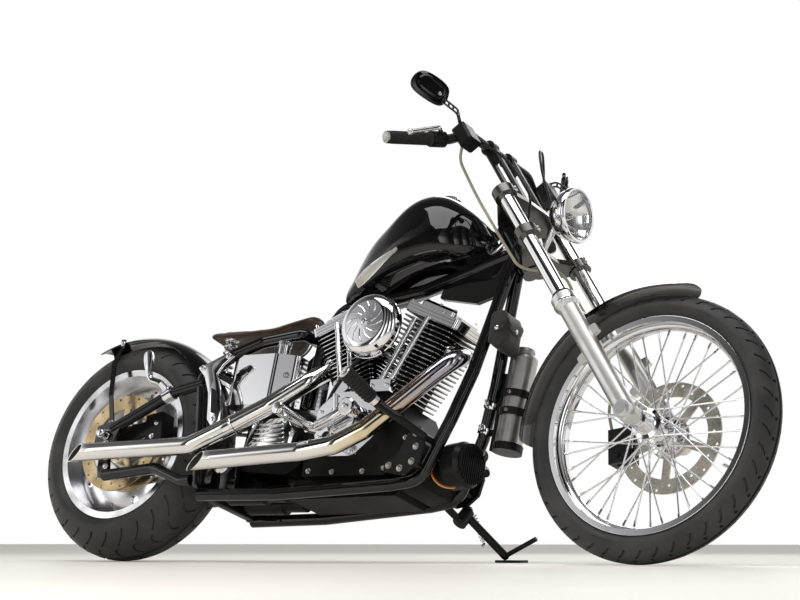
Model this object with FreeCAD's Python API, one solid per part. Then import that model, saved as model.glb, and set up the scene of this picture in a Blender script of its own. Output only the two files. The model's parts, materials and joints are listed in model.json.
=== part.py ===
"""Chopper motorcycle, parked and leaning on its side stand, in millimetres.

The bike is drawn upright: X forward, Y to its left, Z up, with the rear tyre's contact at the origin.
The fork is drawn along its own steering axis, then raked, turned and set on the frame.
The whole is leaned onto the stand and moved so that the middle of its box stands over the origin.
"""
import FreeCAD, Part
import math
import os

V = FreeCAD.Vector
X_AXIS = V(1, 0, 0)
Y_AXIS = V(0, 1, 0)
Z_AXIS = V(0, 0, 1)

# Stance
WHEELBASE = 1696.0
RAKE = 36.2
FORK_OFFSET = 80.0
LEAN = 16.74
BARS_TURNED = -2.7

# Clearances
SEAT_GAP = 0.3
RUNNING = 0.05

# Rear tyre and wheel
REAR_RADIUS = 325.0
REAR_CROWN = 105.0
REAR_HALF_WIDTH = 98.0
REAR_BEAD_RADIUS = REAR_RADIUS - 110.0
REAR_LIP_RADIUS = REAR_BEAD_RADIUS + 12.0
REAR_RIM_HALF = 84.6
REAR_RIM_WALL = 7.0
REAR_HUB_RADIUS = 36.0
REAR_HUB_HALF = 78.0
REAR_HUB_FACE = 60.0
REAR_AXLE_RADIUS = 12.0
REAR_AXLE_HALF = 160.0
DISC_HOLES = 5
DISC_HOLE_RADIUS = 13.0
REAR_ROTOR_RADIUS = 146.0
REAR_ROTOR_Y = -88.0
ROTOR_THICK = 5.0
ROTOR_HOLES = 24
ROTOR_HOLE_RADIUS = 4.0
PULLEY_RADIUS = 108.0
PULLEY_Y = 117.0
BELT_WIDTH = 24.0
BELT_THICK = 5.0

# Front tyre and wheel
FRONT_RADIUS = 345.0
FRONT_CROWN = 46.0
FRONT_HALF_WIDTH = 45.0
FRONT_BEAD_RADIUS = FRONT_RADIUS - 73.0
FRONT_LIP_RADIUS = FRONT_BEAD_RADIUS + 11.5
FRONT_RIM_HALF = 36.4
FRONT_RIM_WALL = 4.0
FRONT_RIM_WELL = 13.0
FRONT_HUB_RADIUS = 26.0
FRONT_FLANGE_RADIUS = 40.0
FRONT_FLANGE_Y = 34.0
FRONT_HUB_HALF = 80.0
FRONT_AXLE_RADIUS = 12.5
SPOKES = 40
SPOKE_RADIUS = 2.2
SPOKE_LEAD = 62.0
FRONT_ROTOR_RADIUS = 146.0
FRONT_ROTOR_Y = 83.0

# Fork, in its own frame: X forward of the steering axis, Z up along it from the axle's level
FORK_HALF = 128.7
TUBE_RADIUS = 20.5
LEG_RADIUS = 26.0
LEG_TOP = FRONT_RADIUS + 51.0
LEG_FOOT = -24.0
LEG_FLANGE_RADIUS = 33.0
LOWER_CLAMP_Z = FRONT_RADIUS + 283.0
UPPER_CLAMP_Z = LOWER_CLAMP_Z + 154.0
TUBE_TOP = UPPER_CLAMP_Z - 6.0
CLAMP_THICK = 28.0
CLAMP_STEP = 4.0
CLAMP_RADIUS = 31.0
STEM_RADIUS = 12.95
NECK_RADIUS = 29.0
STEM_BOSS_RADIUS = 27.0
RISER_Y = 45.0
RISER_X = 82.0
RISER_TOP = UPPER_CLAMP_Z + 228.0
RISER_RADIUS = 15.0
BAR_RADIUS = 12.7
CABLE_RADIUS = 3.5
GRIP_RADIUS = 17.0
GRIP_INNER = V(20.0, 275.0, RISER_TOP - 37.0)
GRIP_OUTER = V(-39.0, 400.0, RISER_TOP - 49.0)
MASTER_TOP = RISER_TOP - 24.0
LEVER_DROP = 22.0
MIRROR_AT = V(104.0, 330.0, RISER_TOP + 54.0)
MIRROR_TURN = 35.0
MIRROR_TILT = 20.0
LAMP_FRONT = V(191.0, 0.0, LOWER_CLAMP_Z + 41.0)
LAMP_RADIUS = 73.0
LAMP_DEPTH = 80.0
LAMP_RIM = 7.0
FENDER_RADIUS_F = FRONT_RADIUS + 31.0
FENDER_HALF_F = 61.0
FENDER_THICK = 3.0
FENDER_FRONT_ANGLE = 49.0
FENDER_BACK_ANGLE = 58.0

# Frame
FRAME_TUBE = 17.0
BACKBONE_RADIUS = 19.0
RAIL_Y = 125.0
RAIL_Z = 153.0
RAIL_RADIUS = 17.0
SEAT_THICK = 14.0
SEAT_EDGE = 7.0
SWING_Y = 152.0
SWING_RADIUS = 16.0
STRUT_WIDTH = 15.0
STRUT_THICK = 5.0

# Engine
CRANK = V(865.0, 0.0, 300.0)
V_HALF_ANGLE = 22.5
CYLINDER_FOOT = 150.0
HEAD_TOP = 384.0
FIN_PITCH = 13.0
FIN_THICK = 3.2
BARREL_RADIUS = 56.0
ROCKER_LENGTH = 200.0
ROCKER_HALF_WIDTH = 75.0
ROCKER_HEIGHT = 48.0
PIPE_RADIUS = 25.4
PIPE_WALL = 2.0

# Side stand
STAND_PIVOT = V(1066.0, 165.0, 178.0)
STAND_FOOT = V(1150.0, 262.0, 0.0)
STAND_RADIUS = 11.0
STAND_FOOT_LENGTH = 80.0
STAND_FOOT_THICK = 7.0

PARTS = {}


def lathe(base, axis, outline):
    """A turned solid: outline holds (along, radius) points; a third item True makes an arc through that point."""
    edges = chain([V(r, 0, a) for a, r, *_ in outline], [len(p) > 2 for p in outline])
    solid = Part.Face(Part.Wire(edges)).revolve(V(0, 0, 0), Z_AXIS, 360)
    return aim(solid, base, axis)


def chain(points, through):
    """Closed edges through the points, with an arc wherever a point is marked as passed through."""
    edges = []
    count = len(points)
    index = 0
    while index < count:
        start = points[index]
        middle = points[(index + 1) % count]
        if through[(index + 1) % count]:
            end = points[(index + 2) % count]
            edges.append(Part.Arc(start, middle, end).toShape())
            index += 2
        else:
            if (middle - start).Length > 1e-6:
                edges.append(Part.makeLine(start, middle))
            index += 1
    return edges


def aim(solid, base, axis):
    """Turn a solid's own Z axis onto axis and put its origin at base."""
    solid.Placement = FreeCAD.Placement(base, FreeCAD.Rotation(Z_AXIS, axis)).multiply(solid.Placement)
    return solid


def rod(start, end, radius, bore=0.0):
    """A straight round bar or tube between two points."""
    length = (end - start).Length
    solid = Part.makeCylinder(radius, length, start, end - start)
    if bore:
        solid = solid.cut(Part.makeCylinder(bore, length, start, end - start))
    return solid


def bent_path(points, bend=None):
    """Straight runs joined by tangent arcs; with no bend radius, arcs are as large as their runs allow."""
    edges = []
    start = points[0]
    radii = []
    for before, corner, after in zip(points, points[1:], points[2:]):
        back = (before - corner).normalize()
        on = (after - corner).normalize()
        half = back.getAngle(on) / 2
        turn = math.pi - 2 * half
        radius = bend
        if radius is None:
            radius = 0.45 * min((before - corner).Length, (after - corner).Length) / math.tan(turn / 2)
        radii.append(radius)
        reach = radius / math.tan(half)
        first = corner + back * reach
        last = corner + on * reach
        middle = corner + (back + on).normalize() * (radius / math.sin(half) - radius)
        if (first - start).Length > 1e-3:
            edges.append(Part.makeLine(start, first))
        edges.append(Part.Arc(first, middle, last).toShape())
        start = last
    edges.append(Part.makeLine(start, points[-1]))
    return Part.Wire(edges), radii


def tube(points, radius, bend=None, bore=0.0, name=""):
    """A round tube along straight runs and tangent arcs."""
    if len(points) == 2:
        return rod(points[0], points[1], radius, bore)
    wire, radii = bent_path(points, bend)
    ring = Part.Wire(Part.makeCircle(radius, points[0], points[1] - points[0]))
    solid = wire.makePipe(Part.Face(ring))
    if name:
        print(name, "length", round(wire.Length), "least bend", round(min(radii), 1),
              "volume ratio", round(solid.Volume / (wire.Length * math.pi * radius ** 2), 4))
    if bore:
        hole = Part.Wire(Part.makeCircle(bore, points[0], points[1] - points[0]))
        solid = solid.cut(wire.makePipe(Part.Face(hole)))
    return solid


def rounded_face(points, corner):
    """A flat face with its corners rounded."""
    count = len(points)
    edges = []
    ends = []
    for index in range(count):
        before, here, after = points[index - 1], points[index], points[(index + 1) % count]
        back = (before - here).normalize()
        on = (after - here).normalize()
        half = back.getAngle(on) / 2
        reach = corner / math.tan(half)
        first = here + back * reach
        last = here + on * reach
        middle = here + (back + on).normalize() * (corner / math.sin(half) - corner)
        ends.append((first, middle, last))
    for index in range(count):
        first, middle, last = ends[index]
        edges.append(Part.Arc(first, middle, last).toShape())
        following = ends[(index + 1) % count][0]
        if (following - last).Length > 1e-3:
            edges.append(Part.makeLine(last, following))
    return Part.Face(Part.Wire(edges))


def side_plate(points, corner, y_from, y_to):
    """A plate whose outline is given as (x, z) pairs, between two values of Y."""
    face = rounded_face([V(x, y_from, z) for x, z in points], corner)
    return face.extrude(V(0, y_to - y_from, 0))


def flat_plate(points, corner, z_from, z_to):
    """A plate whose outline is given as (x, y) pairs, between two values of Z."""
    face = rounded_face([V(x, y, z_from) for x, y in points], corner)
    return face.extrude(V(0, 0, z_to - z_from))


def mirrored(shape):
    """The same piece on the bike's other side."""
    return shape.mirror(V(0, 0, 0), Y_AXIS)


def both(shape):
    """A piece and its mirror image."""
    return [shape, mirrored(shape)]


def fuse(shapes):
    """One solid from several that touch or overlap."""
    result = shapes[0]
    if len(shapes) > 1:
        result = shapes[0].multiFuse(shapes[1:])
    return result


def trimmed(piece, *others):
    """A piece cut back to where the others begin; only its largest remaining solid is kept."""
    for other in others:
        piece = piece.cut(other)
    return max(piece.Solids, key=lambda solid: solid.Volume)


def flip(point):
    """A point's mirror image on the other side."""
    return V(point.x, -point.y, point.z)


def keep(name, body, *shapes):
    """Remember the solids of one named piece, and the body that carries them."""
    solids = []
    for shape in shapes:
        solids.extend(shape.Solids)
    PARTS[name] = (body, Part.makeCompound(solids))


def swept_ring(outline, centre, start, sweep):
    """An (y, radius) outline swept about a wheel's axle from one angle to another, measured from straight up."""
    face = Part.Face(Part.Wire(chain([V(0, y, r) for y, r, *_ in outline], [len(p) > 2 for p in outline])))
    ring = face.revolve(V(0, 0, 0), Y_AXIS, sweep)
    ring.rotate(V(0, 0, 0), Y_AXIS, start)
    ring.translate(centre)
    return ring


def wheel_ring(outline):
    """A full ring about Y, from (y, radius) points, centred on the origin."""
    return swept_ring(outline, V(0, 0, 0), 0, 360)


def tyre(radius, crown, half, bead, lip, rim_half):
    """A tyre with a round crown, a sidewall and a bead that sits on its rim between the lips."""
    drop = crown - crown * math.sqrt(1 - (half / crown) ** 2)
    shoulder = radius - drop
    inner = rim_half - SEAT_GAP - 4
    wall = (shoulder + lip) / 2
    return wheel_ring([(-inner, bead), (-inner, lip + 1), (-half + 3, wall, True), (-half, shoulder),
                       (0, radius, True), (half, shoulder), (half - 3, wall, True), (inner, lip + 1),
                       (inner, bead)])


def rotor(radius, inner, y, bolt_radius, hub_radius):
    """A brake disc: a drilled ring on a five-armed carrier."""
    half = ROTOR_THICK / 2
    ring = wheel_ring([(y - half, inner), (y - half, radius), (y + half, radius), (y + half, inner)])
    carrier = wheel_ring([(y - half, hub_radius), (y - half, bolt_radius + 12), (y + half, bolt_radius + 12),
                          (y + half, hub_radius)])
    arms = []
    for index in range(5):
        arm = Part.makeBox(22, ROTOR_THICK, inner - bolt_radius + 4, V(-11, y - half, bolt_radius))
        arm.rotate(V(0, 0, 0), Y_AXIS, 72 * index)
        arms.append(arm)
    holes = []
    for index in range(ROTOR_HOLES):
        at = radius - (9 if index % 2 else 22)
        hole = Part.makeCylinder(ROTOR_HOLE_RADIUS, 2 * ROTOR_THICK, V(0, y - ROTOR_THICK, at), Y_AXIS)
        hole.rotate(V(0, 0, 0), Y_AXIS, 360 / ROTOR_HOLES * index)
        holes.append(hole)
    return fuse([ring, carrier] + arms).cut(Part.makeCompound(holes))


def rear_wheel():
    """Fat rear tyre on a smooth dished disc wheel, with brake disc and belt pulley."""
    centre = V(0, 0, REAR_RADIUS)
    rubber = tyre(REAR_RADIUS, REAR_CROWN, REAR_HALF_WIDTH, REAR_BEAD_RADIUS, REAR_LIP_RADIUS, REAR_RIM_HALF)
    half = REAR_RIM_HALF
    inner = REAR_BEAD_RADIUS - REAR_RIM_WALL
    bore = REAR_AXLE_RADIUS + RUNNING
    rim = wheel_ring([(-half, inner), (-half, REAR_LIP_RADIUS), (-half + 4, REAR_LIP_RADIUS),
                      (-half + 4, REAR_BEAD_RADIUS), (half - 4, REAR_BEAD_RADIUS),
                      (half - 4, REAR_LIP_RADIUS), (half, REAR_LIP_RADIUS), (half, inner)])
    face = REAR_ROTOR_Y + ROTOR_THICK / 2 + SEAT_GAP
    middle = 0.72 * inner
    dish = wheel_ring([(-20, inner + 2), (-48, middle, True), (-58, 70), (face, REAR_HUB_FACE), (face, bore),
                       (REAR_HUB_HALF, bore), (REAR_HUB_HALF, REAR_HUB_FACE), (-44, 70), (-36, middle, True),
                       (-8, inner + 2)])
    wheel = fuse([rim, dish])
    for index in range(DISC_HOLES):
        angle = 360 / DISC_HOLES * index + 16
        hole = Part.makeCylinder(DISC_HOLE_RADIUS, 80, V(0, -80, 0.81 * inner), Y_AXIS)
        hole.rotate(V(0, 0, 0), Y_AXIS, angle)
        wheel = wheel.cut(hole)
    disc = rotor(REAR_ROTOR_RADIUS, 104, REAR_ROTOR_Y, 46, 30)
    pulley_half = BELT_WIDTH / 2 + 2
    pulley = wheel_ring([(REAR_HUB_HALF + SEAT_GAP, 30), (REAR_HUB_HALF + SEAT_GAP, 58),
                         (PULLEY_Y - 4, 66), (PULLEY_Y - pulley_half, PULLEY_RADIUS - 12),
                         (PULLEY_Y - pulley_half, PULLEY_RADIUS), (PULLEY_Y + pulley_half, PULLEY_RADIUS),
                         (PULLEY_Y + pulley_half, PULLEY_RADIUS - 12), (PULLEY_Y + 4, 66), (PULLEY_Y + 4, 30)])
    for name, shape in (("rear_tyre", rubber), ("rear_disc_wheel", wheel), ("rear_rotor", disc),
                        ("rear_pulley", pulley)):
        shape.translate(centre)
        keep(name, "rear_wheel", shape)


def front_wheel():
    """Wire wheel with a chrome rim, hub and crossed spokes, a narrow tyre and a brake disc on the left."""
    rubber = tyre(FRONT_RADIUS, FRONT_CROWN, FRONT_HALF_WIDTH, FRONT_BEAD_RADIUS, FRONT_LIP_RADIUS,
                  FRONT_RIM_HALF)
    half = FRONT_RIM_HALF
    wall = FRONT_RIM_WALL
    bead = FRONT_BEAD_RADIUS
    well = bead - FRONT_RIM_WELL
    lip = FRONT_LIP_RADIUS
    rim = wheel_ring([(-half, bead - wall), (-half, lip - wall / 2), (-half + wall / 2, lip, True),
                      (-half + wall, lip - wall / 2), (-half + wall, bead), (-half + 14, bead), (0, well, True),
                      (half - 14, bead), (half - wall, bead), (half - wall, lip - wall / 2),
                      (half - wall / 2, lip, True), (half, lip - wall / 2), (half, bead - wall),
                      (half - 15, bead - wall), (0, well - wall, True), (-half + 15, bead - wall)])
    bore = FRONT_AXLE_RADIUS + RUNNING
    flange = FRONT_FLANGE_Y
    seat = FRONT_ROTOR_Y - ROTOR_THICK / 2 - SEAT_GAP
    hub = wheel_ring([(-FRONT_HUB_HALF, bore), (-FRONT_HUB_HALF, 24), (-flange - 6, FRONT_HUB_RADIUS + 4),
                      (-flange - 3, FRONT_FLANGE_RADIUS), (-flange + 3, FRONT_FLANGE_RADIUS),
                      (-flange + 6, FRONT_HUB_RADIUS), (flange - 6, FRONT_HUB_RADIUS),
                      (flange - 3, FRONT_FLANGE_RADIUS), (flange + 3, FRONT_FLANGE_RADIUS),
                      (seat - 14, FRONT_HUB_RADIUS + 6), (seat - 10, 52), (seat, 52), (seat, bore)])
    spokes = []
    for index in range(SPOKES):
        side = 1 if index % 2 else -1
        lead = SPOKE_LEAD if index % 4 < 2 else -SPOKE_LEAD
        at_rim = math.radians(360 / SPOKES * (index + 0.5))
        at_hub = at_rim - math.radians(lead)
        root = FRONT_FLANGE_RADIUS - 5
        tip = well - wall - SEAT_GAP
        start = V(root * math.sin(at_hub), side * flange, root * math.cos(at_hub))
        end = V(tip * math.sin(at_rim), side * 6, tip * math.cos(at_rim))
        spokes.append(rod(start, end, SPOKE_RADIUS))
    hub = fuse([hub] + spokes)
    disc = rotor(FRONT_ROTOR_RADIUS, 108, FRONT_ROTOR_Y, 44, 30)
    for name, shape in (("front_tyre", rubber), ("front_rim", rim), ("front_hub_spokes", hub),
                        ("front_rotor", disc)):
        shape.translate(V(FORK_OFFSET, 0, 0))
        keep(name, "front_wheel", shape)


def triple_clamps():
    """Upper and lower fork clamps on the steering stem."""
    def clamp(z, nose):
        low = z - CLAMP_THICK / 2
        high = z + CLAMP_THICK / 2
        bridge = flat_plate([(-8, -36), (-8, 36), (FORK_OFFSET - 22, FORK_HALF), (FORK_OFFSET + 18, FORK_HALF),
                             (nose, RISER_Y), (nose, -RISER_Y), (FORK_OFFSET + 18, -FORK_HALF),
                             (FORK_OFFSET - 22, -FORK_HALF)], 5, low + CLAMP_STEP, high - CLAMP_STEP)
        boss = Part.makeCylinder(STEM_BOSS_RADIUS, CLAMP_THICK, V(0, 0, low))
        ends = [Part.makeCylinder(CLAMP_RADIUS, CLAMP_THICK, V(FORK_OFFSET, s * FORK_HALF, low)) for s in (1, -1)]
        body = fuse([bridge, boss] + ends)
        for s in (1, -1):
            body = body.cut(Part.makeCylinder(TUBE_RADIUS, CLAMP_THICK + 2, V(FORK_OFFSET, s * FORK_HALF, low - 1)))
        return body
    stem = Part.makeCylinder(STEM_RADIUS, UPPER_CLAMP_Z - LOWER_CLAMP_Z, V(0, 0, LOWER_CLAMP_Z))
    nut = lathe(V(0, 0, UPPER_CLAMP_Z + CLAMP_THICK / 2), Z_AXIS,
                [(0, 0), (0, 18), (8, 18), (14, 12), (14, 0)])
    keep("triple_clamps", "fork", fuse([clamp(LOWER_CLAMP_Z, 66), clamp(UPPER_CLAMP_Z, FORK_OFFSET + 24), stem, nut]))


def fork_legs():
    """Chrome stanchions, their lower legs with the axle lugs, and the front axle."""
    tubes = []
    legs = []
    for s in (1, -1):
        y = s * FORK_HALF
        stanchion = lathe(V(FORK_OFFSET, y, LEG_TOP - 120), Z_AXIS,
                          [(0, 0), (0, TUBE_RADIUS), (TUBE_TOP - LEG_TOP + 110, TUBE_RADIUS),
                           (TUBE_TOP - LEG_TOP + 120, TUBE_RADIUS - 4), (TUBE_TOP - LEG_TOP + 122, 0)])
        tubes.append(stanchion)
        length = LEG_TOP - LEG_FOOT
        leg = lathe(V(FORK_OFFSET, y, LEG_FOOT), Z_AXIS,
                    [(0, 0), (0, 19), (14, 24), (34, LEG_RADIUS), (length - 46, LEG_RADIUS),
                     (length - 34, LEG_FLANGE_RADIUS), (length - 6, LEG_FLANGE_RADIUS),
                     (length, LEG_FLANGE_RADIUS - 6), (length, 0)])
        lug = Part.makeCylinder(23, 58, V(FORK_OFFSET, y - 29, 0), Y_AXIS)
        tab_up = side_plate([(FORK_OFFSET + 10, 236), (FORK_OFFSET + 44, 240), (FORK_OFFSET + 44, 264),
                             (FORK_OFFSET + 10, 270)], 7, y - 7, y + 7)
        tab_low = side_plate([(FORK_OFFSET - 10, 186), (FORK_OFFSET - 44, 190), (FORK_OFFSET - 44, 212),
                              (FORK_OFFSET - 10, 222)], 7, y - 7, y + 7)
        leg = fuse([leg, lug, tab_up, tab_low])
        leg = leg.cut(Part.makeCylinder(TUBE_RADIUS, 130, V(FORK_OFFSET, y, LEG_TOP - 120)))
        leg = leg.cut(Part.makeCylinder(FRONT_AXLE_RADIUS, 80, V(FORK_OFFSET, y - 40, 0), Y_AXIS))
        legs.append(leg)
    keep("fork_tubes", "fork", *tubes)
    keep("fork_legs", "fork", *legs)
    lug = FORK_HALF + 29
    near = FORK_HALF - 29
    bar = FRONT_AXLE_RADIUS
    axle = lathe(V(FORK_OFFSET, 0, 0), Y_AXIS,
                 [(-lug - 7, 0), (-lug - 7, 16), (-lug, 16), (-lug, bar), (-near, bar), (-near, 19),
                  (-FRONT_HUB_HALF - 1, 19), (-FRONT_HUB_HALF - 1, bar), (FRONT_ROTOR_Y + 4, bar),
                  (FRONT_ROTOR_Y + 4, 19), (near, 19), (near, bar), (lug, bar), (lug, 18), (lug + 8, 18),
                  (lug + 8, 9), (-lug + 30, 9), (-lug + 30, 0)])
    keep("front_axle", "fork", axle)


def handlebar():
    """Low bar on two tall slotted risers, with grips, controls, levers and mirrors."""
    rise = []
    foot = UPPER_CLAMP_Z + CLAMP_THICK / 2 - CLAMP_STEP + SEAT_GAP
    for s in (1, -1):
        y = s * RISER_Y
        post = flat_plate([(RISER_X - 18, y - 11), (RISER_X + 18, y - 11), (RISER_X + 18, y + 11),
                           (RISER_X - 18, y + 11)], 6, foot, RISER_TOP)
        slot = side_plate([(RISER_X - 7, foot + 50), (RISER_X + 7, foot + 50),
                           (RISER_X + 7, RISER_TOP - 50), (RISER_X - 7, RISER_TOP - 50)], 5, y - 12, y + 12)
        ring = Part.makeCylinder(BAR_RADIUS + 9, 26, V(RISER_X, y - 13, RISER_TOP), Y_AXIS)
        rise.append(fuse([post.cut(slot), ring]).cut(
            Part.makeCylinder(BAR_RADIUS, 40, V(RISER_X, y - 20, RISER_TOP), Y_AXIS)))
    along = (GRIP_OUTER - GRIP_INNER).normalize()
    elbow = GRIP_INNER - along * 62
    bar = tube([flip(GRIP_OUTER), flip(elbow), V(RISER_X, -146, RISER_TOP), V(RISER_X, 146, RISER_TOP),
                elbow, GRIP_OUTER], BAR_RADIUS, 60)
    keep("handlebar", "fork", bar)
    keep("risers", "fork", *rise)
    length = (GRIP_OUTER - GRIP_INNER).Length
    front = (X_AXIS - along * along.dot(X_AXIS)).normalize()
    grip = lathe(GRIP_INNER, along, [(0, BAR_RADIUS), (0, GRIP_RADIUS + 3), (5, GRIP_RADIUS + 3),
                                     (8, GRIP_RADIUS), (length + 2, GRIP_RADIUS), (length + 7, GRIP_RADIUS - 5),
                                     (length + 7, 0), (length + SEAT_GAP, 0), (length + SEAT_GAP, BAR_RADIUS)])
    clamp = lathe(GRIP_INNER - along * 44, along, [(0, BAR_RADIUS), (0, 22), (43, 22), (43, BAR_RADIUS)])
    pivot = GRIP_INNER - along * 22 + front * 28
    bore = rod(GRIP_INNER - along * 60, GRIP_OUTER, BAR_RADIUS)
    cylinder = flat_plate([(68, 178), (110, 178), (110, 234), (68, 234)], 8, MASTER_TOP - 60, MASTER_TOP)
    arm = rod(V(36, 238, MASTER_TOP - 10), V(84, 212, MASTER_TOP - 24), 12)
    housing = fuse([clamp, cylinder, arm, rod(GRIP_INNER - along * 22, pivot, 8).cut(bore)]).cut(bar)
    sink = V(0, 0, -LEVER_DROP)
    tip = GRIP_OUTER + front * 42 - along * 40 + sink
    lever = fuse([tube([pivot, pivot + front * 26 + along * 26 + sink * 0.6, tip], 6, 16), Part.makeSphere(9, tip)])
    grips = both(grip)
    housings = both(housing)
    levers = both(lever.cut(housing))
    mirrors = [mirror(1), mirror(-1)]
    keep("grips", "fork", *grips)
    keep("bar_controls", "fork", *housings)
    keep("levers", "fork", *levers)
    keep("mirrors", "fork", *mirrors)


def mirror(side):
    """Slotted arm and oval head of one mirror; side is 1 on the left."""
    turned = FreeCAD.Rotation(Y_AXIS, RAKE).multiply(FreeCAD.Rotation(Z_AXIS, side * MIRROR_TURN))
    turned = turned.multiply(FreeCAD.Rotation(X_AXIS, side * MIRROR_TILT))
    head = flat_plate([(-57, -26), (-30, -38), (40, -36), (57, -14), (50, 24), (20, 38), (-42, 34), (-57, 8)], 14, 0, 12)
    dome = flat_plate([(-44, -18), (-26, -28), (30, -26), (44, -10), (38, 16), (16, 27), (-32, 24), (-44, 4)], 12,
                      12, 21)
    head = fuse([head, dome])
    head.rotate(V(0, 0, 0), Z_AXIS, 90)
    head.rotate(V(0, 0, 0), Y_AXIS, 90)
    if side < 0:
        head = head.mirror(V(0, 0, 0), Y_AXIS)
    head.Placement = FreeCAD.Placement(V(MIRROR_AT.x, side * MIRROR_AT.y, MIRROR_AT.z), turned).multiply(head.Placement)
    centre = V(MIRROR_AT.x, side * MIRROR_AT.y, MIRROR_AT.z)
    end = centre + turned.multVec(V(12, -side * 36, -12))
    foot = V(92, side * 212, MASTER_TOP + SEAT_GAP)
    knee = V(116, side * 250, MASTER_TOP + 20)
    arm = tube([foot + V(0, 0, 6), knee, end + turned.multVec(V(14, -side * 14, -10)), end], 6, 14)
    socket = rod(foot, foot + V(0, 0, 12), 10)
    return fuse([head, arm, socket])


def headlight():
    """Chrome bullet headlight with a clear lens, on a bracket from the lower clamp."""
    ahead = V(math.cos(math.radians(RAKE)), 0, -math.sin(math.radians(RAKE)))
    back = LAMP_FRONT - ahead * LAMP_DEPTH
    depth = LAMP_DEPTH
    bowl = [(0, 14), (depth * 0.14, LAMP_RADIUS * 0.52, True), (depth * 0.42, LAMP_RADIUS * 0.84),
            (depth * 0.66, LAMP_RADIUS * 0.955, True), (depth - 13, LAMP_RADIUS - 1)]
    shell = lathe(back, ahead, [(0, 0)] + bowl + [(depth - 12, LAMP_RADIUS), (depth - 2, LAMP_RADIUS),
                                                  (depth, LAMP_RADIUS - 3), (depth, LAMP_RADIUS - LAMP_RIM),
                                                  (depth - 10, LAMP_RADIUS - LAMP_RIM), (24, 40), (16, 0)])
    edge = LAMP_RADIUS - LAMP_RIM - SEAT_GAP
    lens = lathe(back, ahead, [(depth - 9, 0), (depth - 9, edge), (depth - 1, edge), (depth + 4, edge / 2, True),
                               (depth + 6, 6), (depth + 6, 0)])
    shelf = LOWER_CLAMP_Z + CLAMP_THICK / 2 - CLAMP_STEP + SEAT_GAP
    mount = fuse([Part.makeCylinder(13, 16, V(52, 0, shelf)), rod(V(52, 0, shelf + 10), back + ahead * 20, 9)])
    keep("headlight", "fork", fuse([shell, mount]))
    keep("headlight_lens", "fork", lens)


def front_fender():
    """Thin fender over the front tyre, held between the fork legs."""
    half = FENDER_HALF_F
    outer = FENDER_RADIUS_F
    edge = outer - 20
    skin = swept_ring([(-half, edge), (-half * 0.6, outer - 5.5, True), (0, outer), (half * 0.6, outer - 5.5, True),
                       (half, edge), (half - FENDER_THICK, edge), (half * 0.6, outer - 8.7, True),
                       (0, outer - FENDER_THICK), (-half * 0.6, outer - 8.7, True), (-half + FENDER_THICK, edge)],
                      V(FORK_OFFSET, 0, 0), -FENDER_BACK_ANGLE, FENDER_BACK_ANGLE + FENDER_FRONT_ANGLE)
    skin = skin.cut(fender_nose(outer, half))
    lugs = []
    for s in (1, -1):
        reach = FORK_HALF - LEG_RADIUS - half + 6
        start = half - 6 if s > 0 else -half + 6 - reach
        lugs.append(Part.makeBox(26, reach, 5, V(FORK_OFFSET - 13, start, outer - 24)))
    keep("front_fender", "fork", trimmed(fuse([skin] + lugs), PARTS["fork_legs"][1]))


def fender_nose(outer, half):
    """What is trimmed from the fender's front end to leave it rounded."""
    trim = Part.makeBox(2 * half, 4 * half, 80, V(-half, -2 * half, outer - 60))
    trim = trim.cut(Part.makeCylinder(half + 1, 90, V(-half, 0, outer - 65)))
    trim.rotate(V(0, 0, 0), Y_AXIS, FENDER_FRONT_ANGLE)
    trim.translate(V(FORK_OFFSET, 0, 0))
    return trim


def over_clamp(x, y, rise):
    """A point of the fork, at a height above its lower clamp."""
    return V(x, y, LOWER_CLAMP_Z + rise)


def front_brake():
    """Caliper behind the left leg, and the braided hose from the bar to it."""
    block = Part.makeBox(92, 48, 62, V(-46, FRONT_ROTOR_Y - 20, -31))
    slot = Part.makeBox(100, ROTOR_THICK + 10, 61, V(-50, FRONT_ROTOR_Y - ROTOR_THICK / 2 - 5, -45))
    caliper = block.cut(slot)
    caliper.rotate(V(0, 0, 0), Y_AXIS, -62)
    angle = math.radians(-62)
    grip = FRONT_ROTOR_RADIUS - 10
    caliper.translate(V(FORK_OFFSET + grip * math.sin(angle), 0, grip * math.cos(angle)))
    lug = rod(V(FORK_OFFSET - 18, FORK_HALF - 2, 90), V(FORK_OFFSET - 80, FRONT_ROTOR_Y + 28, 84), 11)
    keep("front_caliper", "fork", fuse([caliper, lug]).cut(PARTS["fork_legs"][1]))
    upper = [(65.5, -200, 320), (30, -172, 312), (4, -112, 232), (0, -94, 112), (-2, -80, 32), (-2, -72, -24),
             (34, -40, -54), (62, -6, -56), (66, 34, -72), (52, 64, -128)]
    lower = [(48, 84, 400), (44, 84, 300), (10, 96, 230), (-34, 104, 190), (-50, 106, 140)]
    hose = tube([over_clamp(*point) for point in upper] + [V(*point) for point in lower], 4.0, name="brake_hose")
    keep("brake_hose", "fork", hose)


def cables():
    """Throttle and clutch cables from the bar down past the steering neck."""
    right = [(88, -176.4, 318), (112, -122, 312), (124, -84, 262), (126, -66, 142), (70, -58, 78), (0, -42, 62)]
    left = [(88, 175.5, 322), (134, 134, 350), (172, 84, 364), (178, 34, 332), (152, 30, 252), (128, 36, 138),
            (64, 48, 78), (0, 44, 40)]
    throttle = tube([over_clamp(*point) for point in right], CABLE_RADIUS, name="throttle cable")
    clutch = tube([over_clamp(*point) for point in left], CABLE_RADIUS, name="clutch cable")
    keep("bar_cables", "fork", throttle, clutch)


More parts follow.
